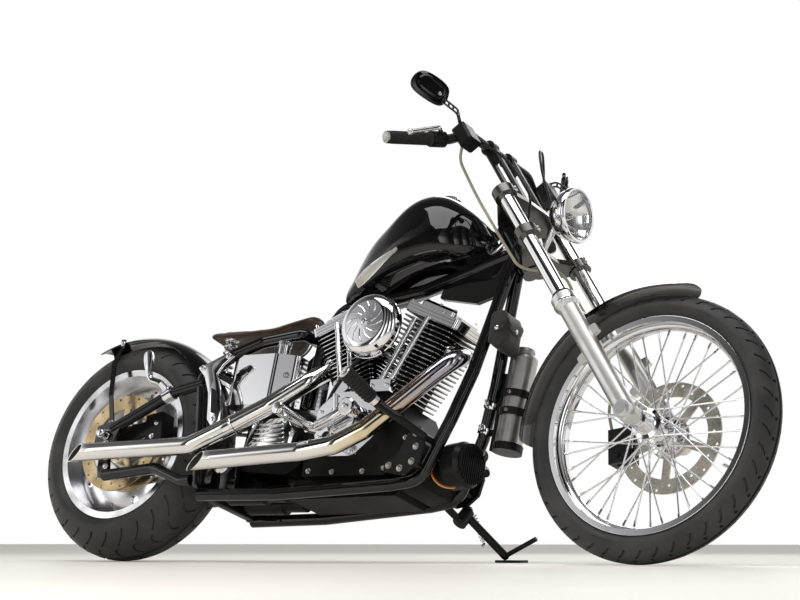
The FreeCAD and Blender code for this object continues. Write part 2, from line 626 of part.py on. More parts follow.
def frame():
    """Neck, backbone, cradle with two downtubes, rear rails and the rear arms beside the wheel."""
    low = neck_point(0, 0, LOWER_CLAMP_Z + CLAMP_THICK / 2 + SEAT_GAP)
    high = neck_point(0, 0, UPPER_CLAMP_Z - CLAMP_THICK / 2 - SEAT_GAP)
    bore = STEM_RADIUS + RUNNING
    neck = rod(low, high, NECK_RADIUS)
    hole = rod(low - (high - low), high + (high - low), bore)
    head = neck_point(0, 0, (LOWER_CLAMP_Z + UPPER_CLAMP_Z) / 2)
    backbone = tube([head + V(0, 0, -3.4), V(930, 0, 769), V(800, 0, 750), V(664, 0, 732), V(612, 0, 660),
                     V(596, 0, 440)], BACKBONE_RADIUS, 60)
    gusset = side_plate([(head.x + x, head.z + z) for x, z in ((6, -29), (-20, -121), (-106, -149), (-231, -127),
                                                              (-216, -79), (-66, -25))], 8, -7, 7)
    spine = fuse([neck, backbone, gusset]).cut(hole)
    keep("frame_backbone", "frame", spine)
    side = tube([head + V(0, 12, -9.4), V(1172, 58, 500), V(1143, 80, 361), V(1086, 92, 193), V(1000, 95, 179),
                 V(640, 113, RAIL_Z), V(372, RAIL_Y, RAIL_Z - 3)], RAIL_RADIUS, 60)
    other = mirrored(side)
    cross = rod(V(1112, -90, 262), V(1112, 90, 262), 12)
    half = [V(582, 60, 640), V(480, 108, 602), V(400, 124, 564), V(318, 148, 487), V(340, 148, 400),
            V(384, 148, 168)]
    rail = tube([flip(point) for point in reversed(half)] + half, FRAME_TUBE, 30)
    ledge = rod(V(342, -142, 512), V(342, 142, 512), 10)
    rear = fuse([rail, ledge]).cut(spine)
    side = trimmed(side, spine, hole, rear)
    other = trimmed(other, spine, hole, rear, side)
    keep("frame_cradle", "frame", side, other, trimmed(cross, side, other))
    keep("frame_rear", "frame", rear)
    arms = []
    axle = REAR_RADIUS
    for s in (1, -1):
        y = s * SWING_Y
        upper = tube([V(20, y, axle + 19), V(221, y, 446), V(336, y, 470)], SWING_RADIUS, 60)
        lower = tube([V(26, y, axle - 121), V(215, y, 222), V(322, y, 182), V(358, y, 184)], SWING_RADIUS, 50)
        plate = side_plate([(-34, axle - 29), (34, axle - 29), (60, axle + 35), (20, axle + 41), (-34, axle + 27)], 8,
                           y - 8, y + 8)
        link = side_plate([(-6, axle - 25), (22, axle - 25), (40, axle - 109), (34, axle - 133), (8, axle - 129),
                           (-2, axle - 95)], 8, y - 7, y + 7)
        body = fuse([upper, lower, plate, link])
        body = body.cut(Part.makeCylinder(REAR_AXLE_RADIUS, 60, V(0, y - 30, axle), Y_AXIS))
        arms.append(body.cut(rear))
    keep("swing_arms", "frame", *arms)


def rear_axle():
    """Axle with its nuts and the caliper on its bracket."""
    half = REAR_AXLE_HALF
    axle = lathe(V(0, -half - 12, REAR_RADIUS), Y_AXIS,
                 [(0, 0), (0, 14), (12 - SEAT_GAP, 18), (12 - SEAT_GAP, REAR_AXLE_RADIUS),
                  (2 * half + 12 + SEAT_GAP, REAR_AXLE_RADIUS), (2 * half + 12 + SEAT_GAP, 18),
                  (2 * half + 24, 14), (2 * half + 24, 0)])
    keep("rear_axle", "frame", axle)
    block = Part.makeBox(96, 52, 60, V(-48, REAR_ROTOR_Y - 34, -30))
    slot = Part.makeBox(110, ROTOR_THICK + 6, 50, V(-55, REAR_ROTOR_Y - ROTOR_THICK / 2 - 3, -45))
    caliper = block.cut(slot)
    angle = math.radians(80)
    caliper.rotate(V(0, 0, 0), Y_AXIS, 80)
    grip = REAR_ROTOR_RADIUS + 4
    caliper.translate(V(grip * math.sin(angle), 0, REAR_RADIUS + grip * math.cos(angle)))
    bracket = side_plate([(x, REAR_RADIUS + rise) for x, rise in ((-24, -22), (24, -22), (110, 5), (150, 20),
                                                                 (150, 60), (100, 47), (-24, 22))], 8,
                         REAR_ROTOR_Y - 34, REAR_ROTOR_Y - 24)
    bracket = bracket.cut(Part.makeCylinder(REAR_AXLE_RADIUS, 60, V(0, -150, REAR_RADIUS), Y_AXIS))
    keep("rear_caliper", "frame", fuse([caliper, bracket]))


def rear_fender():
    """Thin bobbed fender over the rear tyre, with its strut bars."""
    top = REAR_RADIUS + 20
    outline = [(-88, top - 27), (-50, top - 7, True), (0, top), (50, top - 7, True), (88, top - 27), (86, top - 30),
               (50, top - 10, True), (0, top - FENDER_THICK), (-50, top - 10, True), (-86, top - 30)]
    skin = swept_ring(outline, V(-14, 0, REAR_RADIUS + 4), -28, 84)
    keep("rear_fender", "frame", skin)
    edge = 88 + STRUT_THICK / 2 + SEAT_GAP
    foot = SWING_Y - 8 - STRUT_THICK / 2 - SEAT_GAP
    bar = strip([V(-78, edge, 2 * REAR_RADIUS), V(-75, edge, 2 * REAR_RADIUS - 24),
                 V(-66, 120, 2 * REAR_RADIUS - 90), V(-28, foot, REAR_RADIUS + 127), V(2, foot, REAR_RADIUS + 37)],
                STRUT_WIDTH, STRUT_THICK)
    keep("fender_struts", "frame", *[trimmed(piece, PARTS["swing_arms"][1], skin) for piece in both(bar)])


def strip(points, width, thick):
    """A flat bar through the points, as wide along X and as thick along Y everywhere."""
    wires = []
    for p in points:
        corners = [p + V(i * width / 2, j * thick / 2, 0) for i, j in ((-1, -1), (1, -1), (1, 1), (-1, 1))]
        wires.append(Part.makePolygon(corners + corners[:1]))
    return Part.makeLoft(wires, True, True)


def belt():
    """Drive belt round the rear pulley and the gearbox sprocket."""
    front = V(640, PULLEY_Y, 330)
    rear = V(0, PULLEY_Y, REAR_RADIUS)
    small = 46.0
    inner = loop_face(rear, PULLEY_RADIUS + SEAT_GAP, front, small + SEAT_GAP)
    outer = loop_face(rear, PULLEY_RADIUS + BELT_THICK, front, small + BELT_THICK)
    loop = outer.cut(inner)
    loop.translate(V(0, -BELT_WIDTH / 2, 0))
    keep("drive_belt", "frame", loop)
    sprocket = Part.makeCylinder(small, BELT_WIDTH + 4, V(640, PULLEY_Y - BELT_WIDTH / 2 - 2, 330), Y_AXIS)
    return sprocket


def loop_face(first, r_first, second, r_second):
    """The solid inside an open belt round two pulleys, one belt's width deep."""
    span = second - first
    length = math.hypot(span.x, span.z)
    base = math.atan2(span.z, span.x)
    tilt = math.acos((r_first - r_second) / length)
    def at(centre, radius, angle):
        return V(centre.x + radius * math.cos(angle), centre.y, centre.z + radius * math.sin(angle))
    a1 = at(first, r_first, base + tilt)
    a2 = at(second, r_second, base + tilt)
    b1 = at(first, r_first, base - tilt)
    b2 = at(second, r_second, base - tilt)
    edges = [Part.makeLine(a1, a2), Part.Arc(a2, at(second, r_second, base), b2).toShape(),
             Part.makeLine(b2, b1), Part.Arc(b1, at(first, r_first, base + math.pi), a1).toShape()]
    return Part.Face(Part.Wire(edges)).extrude(V(0, BELT_WIDTH, 0))


def cylinder_axis(side):
    """Direction of a cylinder of the V: side 1 leans forward, -1 back."""
    angle = math.radians(V_HALF_ANGLE) * side
    return V(math.sin(angle), 0, math.cos(angle))


def engine(sprocket):
    """V-twin: cases, finned cylinders, rocker boxes, pushrod tubes, cam cover, carburettor, air cleaner."""
    peak = CYLINDER_FOOT / math.cos(math.radians(V_HALF_ANGLE)) - SEAT_GAP
    slope = math.tan(math.radians(V_HALF_ANGLE))
    deck = 112.0
    case = side_plate([(700, 205), (970, 205), (1032, 250), (1040, 310), (CRANK.x + deck, CRANK.z + peak - deck * slope),
                       (CRANK.x, CRANK.z + peak), (CRANK.x - deck, CRANK.z + peak - deck * slope), (692, 330)], 6,
                      -100, 84)
    sump = side_plate([(640, 150), (1000, 158), (1010, 180), (1000, 204.7), (660, 204.7)], 8, -70, 70)
    keep("engine_case", "frame", fuse([case, sump]))
    cover = side_plate([(752, 300), (800, 246), (890, 246), (950, 300), (960, 380), (900, 426), (800, 426),
                        (748, 380)], 34, -142, -100 - SEAT_GAP)
    dial = lathe(V(844, -142, 346), V(0, -1, 0), [(-4, 0), (-4, 52), (8, 52), (12, 46), (12, 0)])
    keep("cam_cover", "frame", fuse([cover, dial]))
    cylinders = []
    boxes = []
    rods = []
    for side in (1, -1):
        up = cylinder_axis(side)
        turn = FreeCAD.Rotation(Y_AXIS, V_HALF_ANGLE * side)
        spot = FreeCAD.Placement(CRANK, turn)
        barrel = Part.makeCylinder(BARREL_RADIUS, HEAD_TOP - CYLINDER_FOOT, V(0, 0, CYLINDER_FOOT))
        fins = []
        count = int((HEAD_TOP - CYLINDER_FOOT) / FIN_PITCH)
        for index in range(count):
            z = HEAD_TOP - FIN_THICK - FIN_PITCH * index
            share = (z - CYLINDER_FOOT) / (HEAD_TOP - CYLINDER_FOOT)
            length = 62 + 34 * share
            width = 68 + 6 * share
            fins.append(flat_plate([(-length, -width), (length, -width), (length, width), (-length, width)], 18,
                                   z, z + FIN_THICK))
        body = fuse([barrel] + fins)
        body.Placement = spot
        cylinders.append(body)
        half = ROCKER_LENGTH / 2
        wide = ROCKER_HALF_WIDTH
        top = HEAD_TOP + SEAT_GAP
        box = flat_plate([(-half, -wide), (half, -wide), (half, wide), (-half, wide)], 16, top, top + 26)
        lid = flat_plate([(-half + 38, -wide + 12), (half - 38, -wide + 12), (half - 38, wide - 12),
                          (-half + 38, wide - 12)], 12, top + 26, top + ROCKER_HEIGHT)
        lid = lid.makeChamfer(8, [e for e in lid.Edges if e.BoundBox.ZMin > top + ROCKER_HEIGHT - 0.1])
        box = fuse([box, lid])
        box.Placement = spot
        boxes.append(box)
        block = Part.makeBox(66, 26, 34, V(CRANK.x + side * 62 - 33, -126, CRANK.z + 130))
        pieces = [block]
        for offset in (-16, 16):
            foot = CRANK + V(side * 62 + offset, -112, 150)
            head = CRANK + up * (HEAD_TOP - 3) + V(offset * 1.3 - side * 14, -86, 0)
            pieces.append(rod(foot, head, 7.5))
        rods.append(fuse(pieces).cut(body).cut(box).cut(case))
    keep("cylinders", "frame", *cylinders)
    keep("rocker_boxes", "frame", *boxes)
    keep("pushrod_tubes", "frame", *rods)
    carb = rod(V(865, 0, 590), V(865, -160, 590), 24)
    bowl = Part.makeCylinder(26, 60, V(865, -122, 548))
    manifold = rod(V(825, 0, 590), V(905, 0, 590), 19)
    keep("carburettor", "frame", fuse([carb, bowl, manifold]).cut(cylinders[0]).cut(cylinders[1]))
    cleaner = lathe(V(908, -160 - SEAT_GAP, 594), V(0.0, -1, 0),
                    [(0, 0), (0, 76), (10, 88), (32, 88), (46, 80, True), (55, 60), (57, 0)])
    keep("air_cleaner", "frame", cleaner)
    gearbox = side_plate([(470, 226), (640, 212), (686, 240), (686, 392), (600, 408), (484, 396)], 18, -98, 80)
    shaft = Part.makeCylinder(20, PULLEY_Y - 80 + 2, V(640, 79, 330), Y_AXIS)
    cover = side_plate([(500, 258), (670, 262), (684, 320), (640, 372), (520, 366)], 20, -128, -98)
    keep("gearbox", "frame", fuse([gearbox, cover, shaft, sprocket]))
    primary = side_plate([(590, 250), (680, 224), (930, 206), (985, 250), (985, 360), (930, 412), (680, 400),
                          (600, 350)], 42, 134, 188)
    inner = side_plate([(720, 240), (960, 230), (960, 380), (720, 380)], 20, 84 + SEAT_GAP, 136)
    keep("primary_cover", "frame", fuse([primary, inner]))


def exhaust():
    """Two slash-cut pipes along the right side."""
    front = [V(1072, -26, 562), V(1126, -44, 548), V(1142, -112, 512), V(1093, -136, 456), V(1020, -168, 368),
             V(959, -198, 296), V(890, -226, 246), V(793, -240, 226), V(440, -242, 207)]
    rear = [V(690, -40, 540), V(668, -104, 478), V(581, -150, 393), V(470, -184, 320), V(369, -200, 268),
            V(-56, -206, 256)]
    pipes = []
    barrels = PARTS["cylinders"][1]
    for points, bend in ((front, 44), (rear, 50)):
        body = tube(points, PIPE_RADIUS, bend, PIPE_RADIUS - PIPE_WALL)
        end = points[-1]
        cutter = Part.makeBox(200, 120, 200, V(-200, -60, -100))
        cutter.rotate(V(0, 0, 0), Y_AXIS, -48)
        cutter.translate(end + V(12, 0, 0))
        pipes.append(body.cut(cutter).cut(barrels))
    keep("exhaust_pipes", "frame", *pipes)


def tank_section(x, low, high, half):
    """One cross section of the tank: a rounded top over a flatter belly."""
    widest = low + 0.34 * (high - low)
    points = []
    for step in range(14):
        angle = 2 * math.pi * (step + 0.5) / 14
        c = math.cos(angle)
        s = math.sin(angle)
        rise = high - widest if s > 0 else widest - low
        points.append(V(x, half * math.copysign(abs(c) ** 0.7, c),
                        widest + rise * math.copysign(abs(s) ** (0.8 if s > 0 else 0.45), s)))
    curve = Part.BSplineCurve()
    curve.interpolate(points, PeriodicFlag=True)
    return Part.Wire(curve.toShape())


def tank():
    """Peanut tank lofted from cross sections, with its blank badges and cap."""
    sections = [(701, 724, 776, 54), (722, 728, 808, 72), (762, 742, 870, 96), (800, 756, 922, 112),
                (840, 772, 962, 122), (879, 786, 1002, 129), (912, 796, 1024, 132), (948, 804, 1032, 133),
                (991, 812, 1026, 132), (1033, 815, 1006, 128), (1075, 816, 978, 118), (1112, 828, 944, 94),
                (1138, 850, 904, 52)]
    body = Part.makeLoft([tank_section(*section) for section in sections], True, False)
    keep("fuel_tank", "frame", body.cut(PARTS["frame_backbone"][1]))
    cap = lathe(V(960, 0, 1032), V(-0.12, 0, 1), [(-6, 0), (-6, 30), (4, 30), (10, 26), (12, 0)])
    keep("tank_cap", "frame", cap.cut(body))


def seat():
    """Thin leather solo seat on two springs."""
    wires = []
    for x, middle, half, droop in ((246, 652, 50, 2), (262, 651, 86, 4), (300, 650, 110, 8), (390, 646, 118, 10),
                                   (454, 654, 104, 9), (489, 663, 86, 8), (520, 682, 64, 5), (553, 699, 44, 3),
                                   (580, 711, 26, 1)):
        top = Part.Arc(V(x, -half, middle - droop), V(x, 0, middle), V(x, half, middle - droop)).toShape()
        low = Part.Arc(V(x, half, middle - droop - SEAT_EDGE), V(x, 0, middle - SEAT_THICK),
                       V(x, -half, middle - droop - SEAT_EDGE)).toShape()
        sides = [Part.makeLine(V(x, half, middle - droop), V(x, half, middle - droop - SEAT_EDGE)),
                 Part.makeLine(V(x, -half, middle - droop - SEAT_EDGE), V(x, -half, middle - droop))]
        wires.append(Part.Wire([top, sides[0], low, sides[1]]))
    keep("seat", "frame", Part.makeLoft(wires, True, False))
    springs = []
    for side in (1, -1):
        foot = V(338, side * 80, 522 + SEAT_GAP)
        coil = [(0, 8)]
        for turn in range(6):
            coil += [(18 * turn, 22), (18 * turn + 8, 16)]
        springs.append(lathe(foot, Z_AXIS, coil + [(108, 20), (124, 20), (124, 8)]).cut(PARTS["seat"][1]))
    keep("seat_springs", "frame", *springs)


def oil_tank():
    """Wraparound oil tank under the seat, with its filler neck."""
    body = flat_plate([(392, -124), (550, -124), (610, -92), (610, 92), (550, 124), (392, 124)], 26, 412, 560)
    body = body.cut(Part.makeBox(240, 110, 200, V(540, -55, 400)))
    filler = Part.makeCylinder(17, 70, V(552, -98, 522))
    body = fuse([body, filler])
    for name in ("frame_rear", "frame_backbone", "cylinders", "rocker_boxes"):
        body = body.cut(PARTS[name][1])
    keep("oil_tank", "frame", body)


def controls():
    """Foot controls on plates at the front of the frame, the side arm and the passenger pegs."""
    plate = side_plate([(1104, 320), (1120, 270), (1112, 224), (1070, 186), (1008, 196), (1006, 226), (1040, 238),
                        (1068, 300)], 10, -152, -142)
    arm = tube([V(1120, -150, 288), V(1074, -212, 318), V(1010, -224, 355)], 11, 20)
    stub = [rod(V(x, -90, z), V(x, -143, z), 9) for x, z in ((1104, 296), (1088, 222))]
    knuckle = rod(V(1012, -212, 352), V(1006, -236, 360), 14)
    peg = lathe(V(1006, -237, 360), V(-0.33, -0.9, 0.4), [(0, 0), (0, 11), (10, 11), (10, 17), (112, 19),
                                                        (112, 0)])
    control = fuse([plate, arm, knuckle] + stub)
    near, far = both(control)
    far = far.cut(rod(STAND_PIVOT - stand_axis() * 60, STAND_PIVOT + stand_axis() * 60, 26))
    cradle = PARTS["frame_cradle"][1]
    keep("foot_controls", "frame", near.cut(cradle), far.cut(cradle))
    keep("rider_pegs", "frame", *both(peg.cut(knuckle)))
    crank = rod(V(772, -178, 312), V(900, -178, 376), 11)
    boss = rod(V(880, -154 - SEAT_GAP, 366), V(880, -190, 366), 20)
    pedal = lathe(V(764, -190, 312), V(-0.12, -1, 0.1), [(0, 0), (0, 12), (124, 14), (124, 0)])
    knob = rod(V(840, -178, 346), V(832, -184, 404), 7)
    keep("side_arm", "frame", fuse([crank, boss, pedal, rod(V(772, -170, 312), V(764, -192, 312), 15), knob]))
    mount = rod(V(200, -SWING_Y - 4, 452), V(186, -176, 470), 12)
    blade = tube([V(186, -176, 470), V(150, -182, 480), V(128, -186, 560)], 9, 16)
    collar = rod(V(196, -SWING_Y, 434), V(222, -SWING_Y, 447), SWING_RADIUS + 5)
    pegs = both(fuse([mount, blade, collar]))
    keep("passenger_pegs", "frame", *[peg.cut(PARTS["swing_arms"][1]) for peg in pegs])


def luggage():
    """Bottle in its holder and a small leather pouch on the left downtube."""
    tilt = V(0.038, 0.0, 1.0).normalize()
    foot = V(1232, 66, 319)
    bottle = lathe(foot, tilt, [(0, 0), (0, 33), (5, 37), (250, 37), (262, 34, True), (268, 24), (284, 24),
                                (284, 0)])
    keep("bottle", "frame", bottle)
    bore = 37 + SEAT_GAP
    bands = []
    for at in (92, 142):
        bands.append(rod(foot + tilt * at, foot + tilt * (at + 20), bore + 3.5, bore))
    cup = rod(foot - tilt * 5, foot + tilt * 16, bore + 3.5).cut(rod(foot - tilt * SEAT_GAP, foot + tilt * 40, bore))
    spine = rod(foot + V(-46, 0, 0) + tilt * 2, foot + V(-46, 0, 0) + tilt * 216, 9)
    arms = [rod(V(1164, 64, 446), foot + V(-46, 0, 0) + tilt * 126, 9),
            rod(V(1148, 76, 372), foot + V(-46, 0, 0) + tilt * 54, 9)]
    holder = fuse([cup, spine] + bands + arms).cut(rod(foot + tilt * 20, foot + tilt * 250, bore))
    keep("bottle_holder", "frame", holder.cut(PARTS["frame_cradle"][1]))
    pouch = side_plate([(1198, 664), (1240, 672), (1256, 640), (1252, 572), (1226, 562), (1198, 580)], 10, -62, 24)
    pouch = pouch.cut(PARTS["frame_cradle"][1]).cut(bottle)
    keep("tool_pouch", "frame", max(pouch.Solids, key=lambda piece: piece.Volume))
    regulator = lathe(V(1124, -8, 252), V(1, -0.1, 0.1), [(0, 0), (0, 62), (44, 62), (54, 52), (54, 0)])
    keep("regulator", "frame", regulator.cut(PARTS["frame_cradle"][1]))


def side_stand():
    """Folding stand on the left lower rail, with its foot and spring."""
    pivot = STAND_PIVOT
    slope = math.tan(math.radians(LEAN))
    floor = floor_height(STAND_FOOT.y)
    foot = V(STAND_FOOT.x, STAND_FOOT.y, floor)
    normal = V(0, -math.sin(math.radians(LEAN)), math.cos(math.radians(LEAN)))
    ankle = foot + normal * (STAND_FOOT_THICK + STAND_RADIUS)
    leg = rod(pivot, ankle, STAND_RADIUS)
    pad = Part.makeBox(STAND_FOOT_LENGTH, 38, STAND_FOOT_THICK, V(-20, -19, 0))
    pad.Placement = FreeCAD.Placement(foot, FreeCAD.Rotation(X_AXIS, LEAN))
    heel = Part.makeSphere(STAND_RADIUS, ankle)
    tab = rod(ankle - V(6, 0, 4), ankle + V(92, -4, 46), 6.5)
    eye = rod(pivot - stand_axis() * 13, pivot + stand_axis() * 13, 18)
    keep("stand_leg", "side_stand", fuse([leg, pad, heel, tab, eye]).cut(
        rod(pivot - stand_axis() * 30, pivot + stand_axis() * 30, 7 + RUNNING)))
    axis = stand_axis()
    pin = rod(pivot - axis * 34, pivot + axis * 20, 7)
    plate = rod(pivot - axis * 34, pivot - axis * 15, 20)
    strut = rod(pivot - axis * 26, V(1040, 96, 184), 10)
    keep("stand_bracket", "frame", fuse([pin, plate, strut]).cut(PARTS["frame_cradle"][1]))


def stand_axis():
    """Axis that swings the stand from its parked place up beside the lower rail."""
    return V(0.149, 0.491, 0.858).normalize()


def floor_height(y):
    """Height of the floor in the upright bike's frame at a distance to its left, under both tyres."""
    lean = math.radians(LEAN)
    contact = -REAR_CROWN * (1 - math.cos(lean))
    return (contact + y * math.sin(lean)) / math.cos(lean)


def fork_placement():
    """Rake, turn and drop of the fork, so that both tyres touch the same floor."""
    lean = FreeCAD.Rotation(X_AXIS, -LEAN)
    rake = FreeCAD.Rotation(Y_AXIS, -RAKE)
    turn = FreeCAD.Rotation(Z_AXIS, BARS_TURNED)
    u = rake.multVec(Z_AXIS)
    forward = rake.multVec(X_AXIS)
    root = V(WHEELBASE, 0, FRONT_RADIUS) - forward * FORK_OFFSET
    face = lean.multVec(rake.multVec(turn.multVec(Y_AXIS)))
    centre = lean.multVec(root + rake.multVec(turn.multVec(V(FORK_OFFSET, 0, 0))))
    reach = FRONT_RADIUS - FRONT_CROWN
    low = centre.z - reach * math.sqrt(1 - face.z ** 2) - FRONT_CROWN
    contact = -REAR_CROWN * (1 - math.cos(math.radians(LEAN)))
    drop = (low - contact) / lean.multVec(u).z
    root = root - u * drop
    return FreeCAD.Placement(root, rake), FreeCAD.Placement(V(0, 0, 0), turn)


def neck_point(x, y, z):
    """A point of the fork's straight-ahead frame, in the bike's frame."""
    raked, _ = fork_placement()
    return raked.multVec(V(x, y, z))


def build():
    """Make every piece, lean the bike onto its stand, centre it and write one file for each piece."""
    rear_wheel()
    front_wheel()
    triple_clamps()
    fork_legs()
    handlebar()
    headlight()
    front_fender()
    front_brake()
    cables()
    frame()
    rear_axle()
    rear_fender()
    engine(belt())
    exhaust()
    tank()
    seat()
    oil_tank()
    controls()
    luggage()
    side_stand()
    raked, turned = fork_placement()
    lean = FreeCAD.Placement(V(0, 0, 0), FreeCAD.Rotation(X_AXIS, -LEAN))
    contact = -REAR_CROWN * (1 - math.cos(math.radians(LEAN)))
    box = FreeCAD.BoundBox()
    placed = {}
    for name, (body, shape) in PARTS.items():
        place = lean
        if body in ("fork", "front_wheel"):
            place = lean.multiply(raked).multiply(turned)
        moved = shape.copy()
        moved.Placement = place.multiply(moved.Placement)
        placed[name] = moved
        box.add(moved.optimalBoundingBox(False))
    shift = V(-box.Center.x, -box.Center.y, -contact)
    os.makedirs("parts", exist_ok=True)
    for name, shape in placed.items():
        shape.translate(shift)
        if not shape.isValid():
            print("not valid:", name)
        shape.exportStep("parts/" + name + ".step")
    print("box", box.XLength, box.YLength, box.ZLength, "low", box.ZMin - contact)
    report = {
        "steering": (lean.multiply(raked).multVec(V(0, 0, LOWER_CLAMP_Z)), lean.multiply(raked).Rotation.multVec(Z_AXIS)),
        "front_wheel": (lean.multiply(raked).multiply(turned).multVec(V(FORK_OFFSET, 0, 0)),
                        lean.multiply(raked).multiply(turned).Rotation.multVec(Y_AXIS)),
        "rear_wheel": (lean.multVec(V(0, 0, REAR_RADIUS)), lean.Rotation.multVec(Y_AXIS)),
        "side_stand": (lean.multVec(STAND_PIVOT), lean.Rotation.multVec(stand_axis())),
    }
    for name, (point, axis) in report.items():
        spot = point + shift
        print("joint", name, [round(c / 1000, 6) for c in spot], [round(c, 6) for c in axis])
    print("shift", [round(c, 4) for c in shift])


build()
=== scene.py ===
"""Looks of a chopper motorcycle that leans on its side stand: finishes, small pieces, light and camera."""

import json
import logging
import math
from dataclasses import dataclass
from enum import Enum
from typing import Callable, Iterable, Sequence

import bmesh
import bpy
from mathutils import Matrix, Quaternion, Vector
from mathutils.bvhtree import BVHTree

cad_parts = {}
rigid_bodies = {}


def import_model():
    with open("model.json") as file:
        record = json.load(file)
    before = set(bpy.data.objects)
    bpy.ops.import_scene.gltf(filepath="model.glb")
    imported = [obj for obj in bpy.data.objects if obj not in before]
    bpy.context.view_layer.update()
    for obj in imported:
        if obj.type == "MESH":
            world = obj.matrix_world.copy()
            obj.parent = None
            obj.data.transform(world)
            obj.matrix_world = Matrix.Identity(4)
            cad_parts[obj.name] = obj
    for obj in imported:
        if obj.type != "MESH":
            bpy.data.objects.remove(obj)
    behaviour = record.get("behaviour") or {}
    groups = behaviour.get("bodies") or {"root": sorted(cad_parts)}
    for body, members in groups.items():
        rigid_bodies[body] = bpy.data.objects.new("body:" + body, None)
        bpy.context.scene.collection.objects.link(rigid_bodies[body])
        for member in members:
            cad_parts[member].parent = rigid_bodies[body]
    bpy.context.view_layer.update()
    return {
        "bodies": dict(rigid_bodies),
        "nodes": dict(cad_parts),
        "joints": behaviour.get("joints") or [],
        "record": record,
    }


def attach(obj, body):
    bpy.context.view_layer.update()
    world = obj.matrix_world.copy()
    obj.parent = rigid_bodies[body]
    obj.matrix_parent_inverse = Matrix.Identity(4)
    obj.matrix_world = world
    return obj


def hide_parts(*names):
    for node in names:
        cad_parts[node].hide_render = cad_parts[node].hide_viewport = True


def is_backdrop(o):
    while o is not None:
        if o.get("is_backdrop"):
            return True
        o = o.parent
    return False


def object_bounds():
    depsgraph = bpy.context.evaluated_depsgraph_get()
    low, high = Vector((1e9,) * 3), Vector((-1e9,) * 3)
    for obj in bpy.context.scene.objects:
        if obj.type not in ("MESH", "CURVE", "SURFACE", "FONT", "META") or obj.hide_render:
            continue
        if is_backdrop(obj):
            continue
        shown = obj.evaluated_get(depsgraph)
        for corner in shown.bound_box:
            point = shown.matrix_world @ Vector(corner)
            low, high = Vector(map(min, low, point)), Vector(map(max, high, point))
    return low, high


LOG = logging.getLogger("motorcycle")
MM = 0.001
Point = Sequence[float]
Outline = Sequence[tuple[float, float]]
UP: Point = (0, 0, 1)
DOWN: Point = (0, 0, -1)
LEFT: Point = (0, 1, 0)
RIGHT: Point = (0, -1, 0)
AHEAD: Point = (1, 0, 0)
# A height clear of the seat, from which points are dropped onto it
ABOVE = 800.0
# Stands a drawing in (x, z) upright, with its heights to the right
SIDE = Matrix(((1, 0, 0, 0), (0, 0, -1, 0), (0, 1, 0, 0), (0, 0, 0, 1)))


class Body(Enum):
    """The moving bodies that pieces ride on."""

    FRAME = "frame"
    FORK = "fork"
    FRONT_WHEEL = "front_wheel"
    REAR_WHEEL = "rear_wheel"
    STAND = "side_stand"


@dataclass(frozen=True)
class Place:
    """The frame that a piece is drawn in and the body that carries it.

    Attributes:
        matrix: From the drawing's frame to the model's, in metres.
        body: The body that carries the piece.
    """

    matrix: Matrix
    body: Body


@dataclass(frozen=True)
class Coat:
    """A finished material.

    Attributes:
        slot: The record's slot that it stands for, or nothing.
    """

    material: bpy.types.Material
    slot: str


class Axes:
    """Where the upright machine and its straight fork are drawn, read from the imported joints.

    Args:
        joints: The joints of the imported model.
    """

    REAR_AXLE_HEIGHT = 0.325
    STEM_HEIGHT = 0.628
    FORK_OFFSET = 0.080

    def __init__(self, joints: Sequence[dict]) -> None:
        """Read the two wheel axles and the steering axis.

        Args:
            joints: The joints of the frame's file.
        """
        found = {}
        for joint in joints:
            found[joint["name"]] = (Vector(joint["pos_m"]), Vector(joint["axis"]).normalized())
        point, across = found["rear_wheel_spin"]
        self.rear_axle = point
        self.bike = self.frame_of(Vector(AHEAD), across, Vector(AHEAD).cross(across), point)
        self.bike = self.bike @ Matrix.Translation((0, 0, -self.REAR_AXLE_HEIGHT))
        stem, up = found["steering"]
        _, across = found["front_wheel_spin"]
        self.fork = self.frame_of(across.cross(up), across, up, stem)
        self.fork = self.fork @ Matrix.Translation((0, 0, -self.STEM_HEIGHT))
        rear = self.bike @ Matrix.Translation((0, 0, self.REAR_AXLE_HEIGHT))
        front = self.fork @ Matrix.Translation((self.FORK_OFFSET, 0, 0))
        self.on_frame = Place(self.bike, Body.FRAME)
        self.on_stand = Place(self.bike, Body.STAND)
        self.on_fork = Place(self.fork, Body.FORK)
        self.on_caliper = Place(front, Body.FORK)
        self.on_front_wheel = Place(front, Body.FRONT_WHEEL)
        self.on_rear_wheel = Place(rear, Body.REAR_WHEEL)

    @staticmethod
    def frame_of(forward: Vector, left: Vector, up: Vector, origin: Vector) -> Matrix:
        """A matrix from three directions and an origin.

        Args:
            forward: The new X axis.
            left: The new Y axis.
            up: The new Z axis.
            origin: Where the new origin lies.

        Returns:
            The matrix from the new frame to the model's.
        """
        matrix = Matrix((forward, left, up)).transposed().to_4x4()
        matrix.translation = origin
        return matrix


def sided(point: Point, side: int) -> Vector:
    """A point or a way that is given for the left, on that side (1) or mirrored to the right (-1)."""
    return Vector((point[0], side * point[1], point[2]))


def circle(count: int, radius: float, start: float = 0.0) -> list[tuple[float, float]]:
    """Points evenly round a circle, the first at a start angle in degrees."""
    angles = [math.radians(360 / count * index + start) for index in range(count)]
    return [(radius * math.sin(angle), radius * math.cos(angle)) for angle in angles]


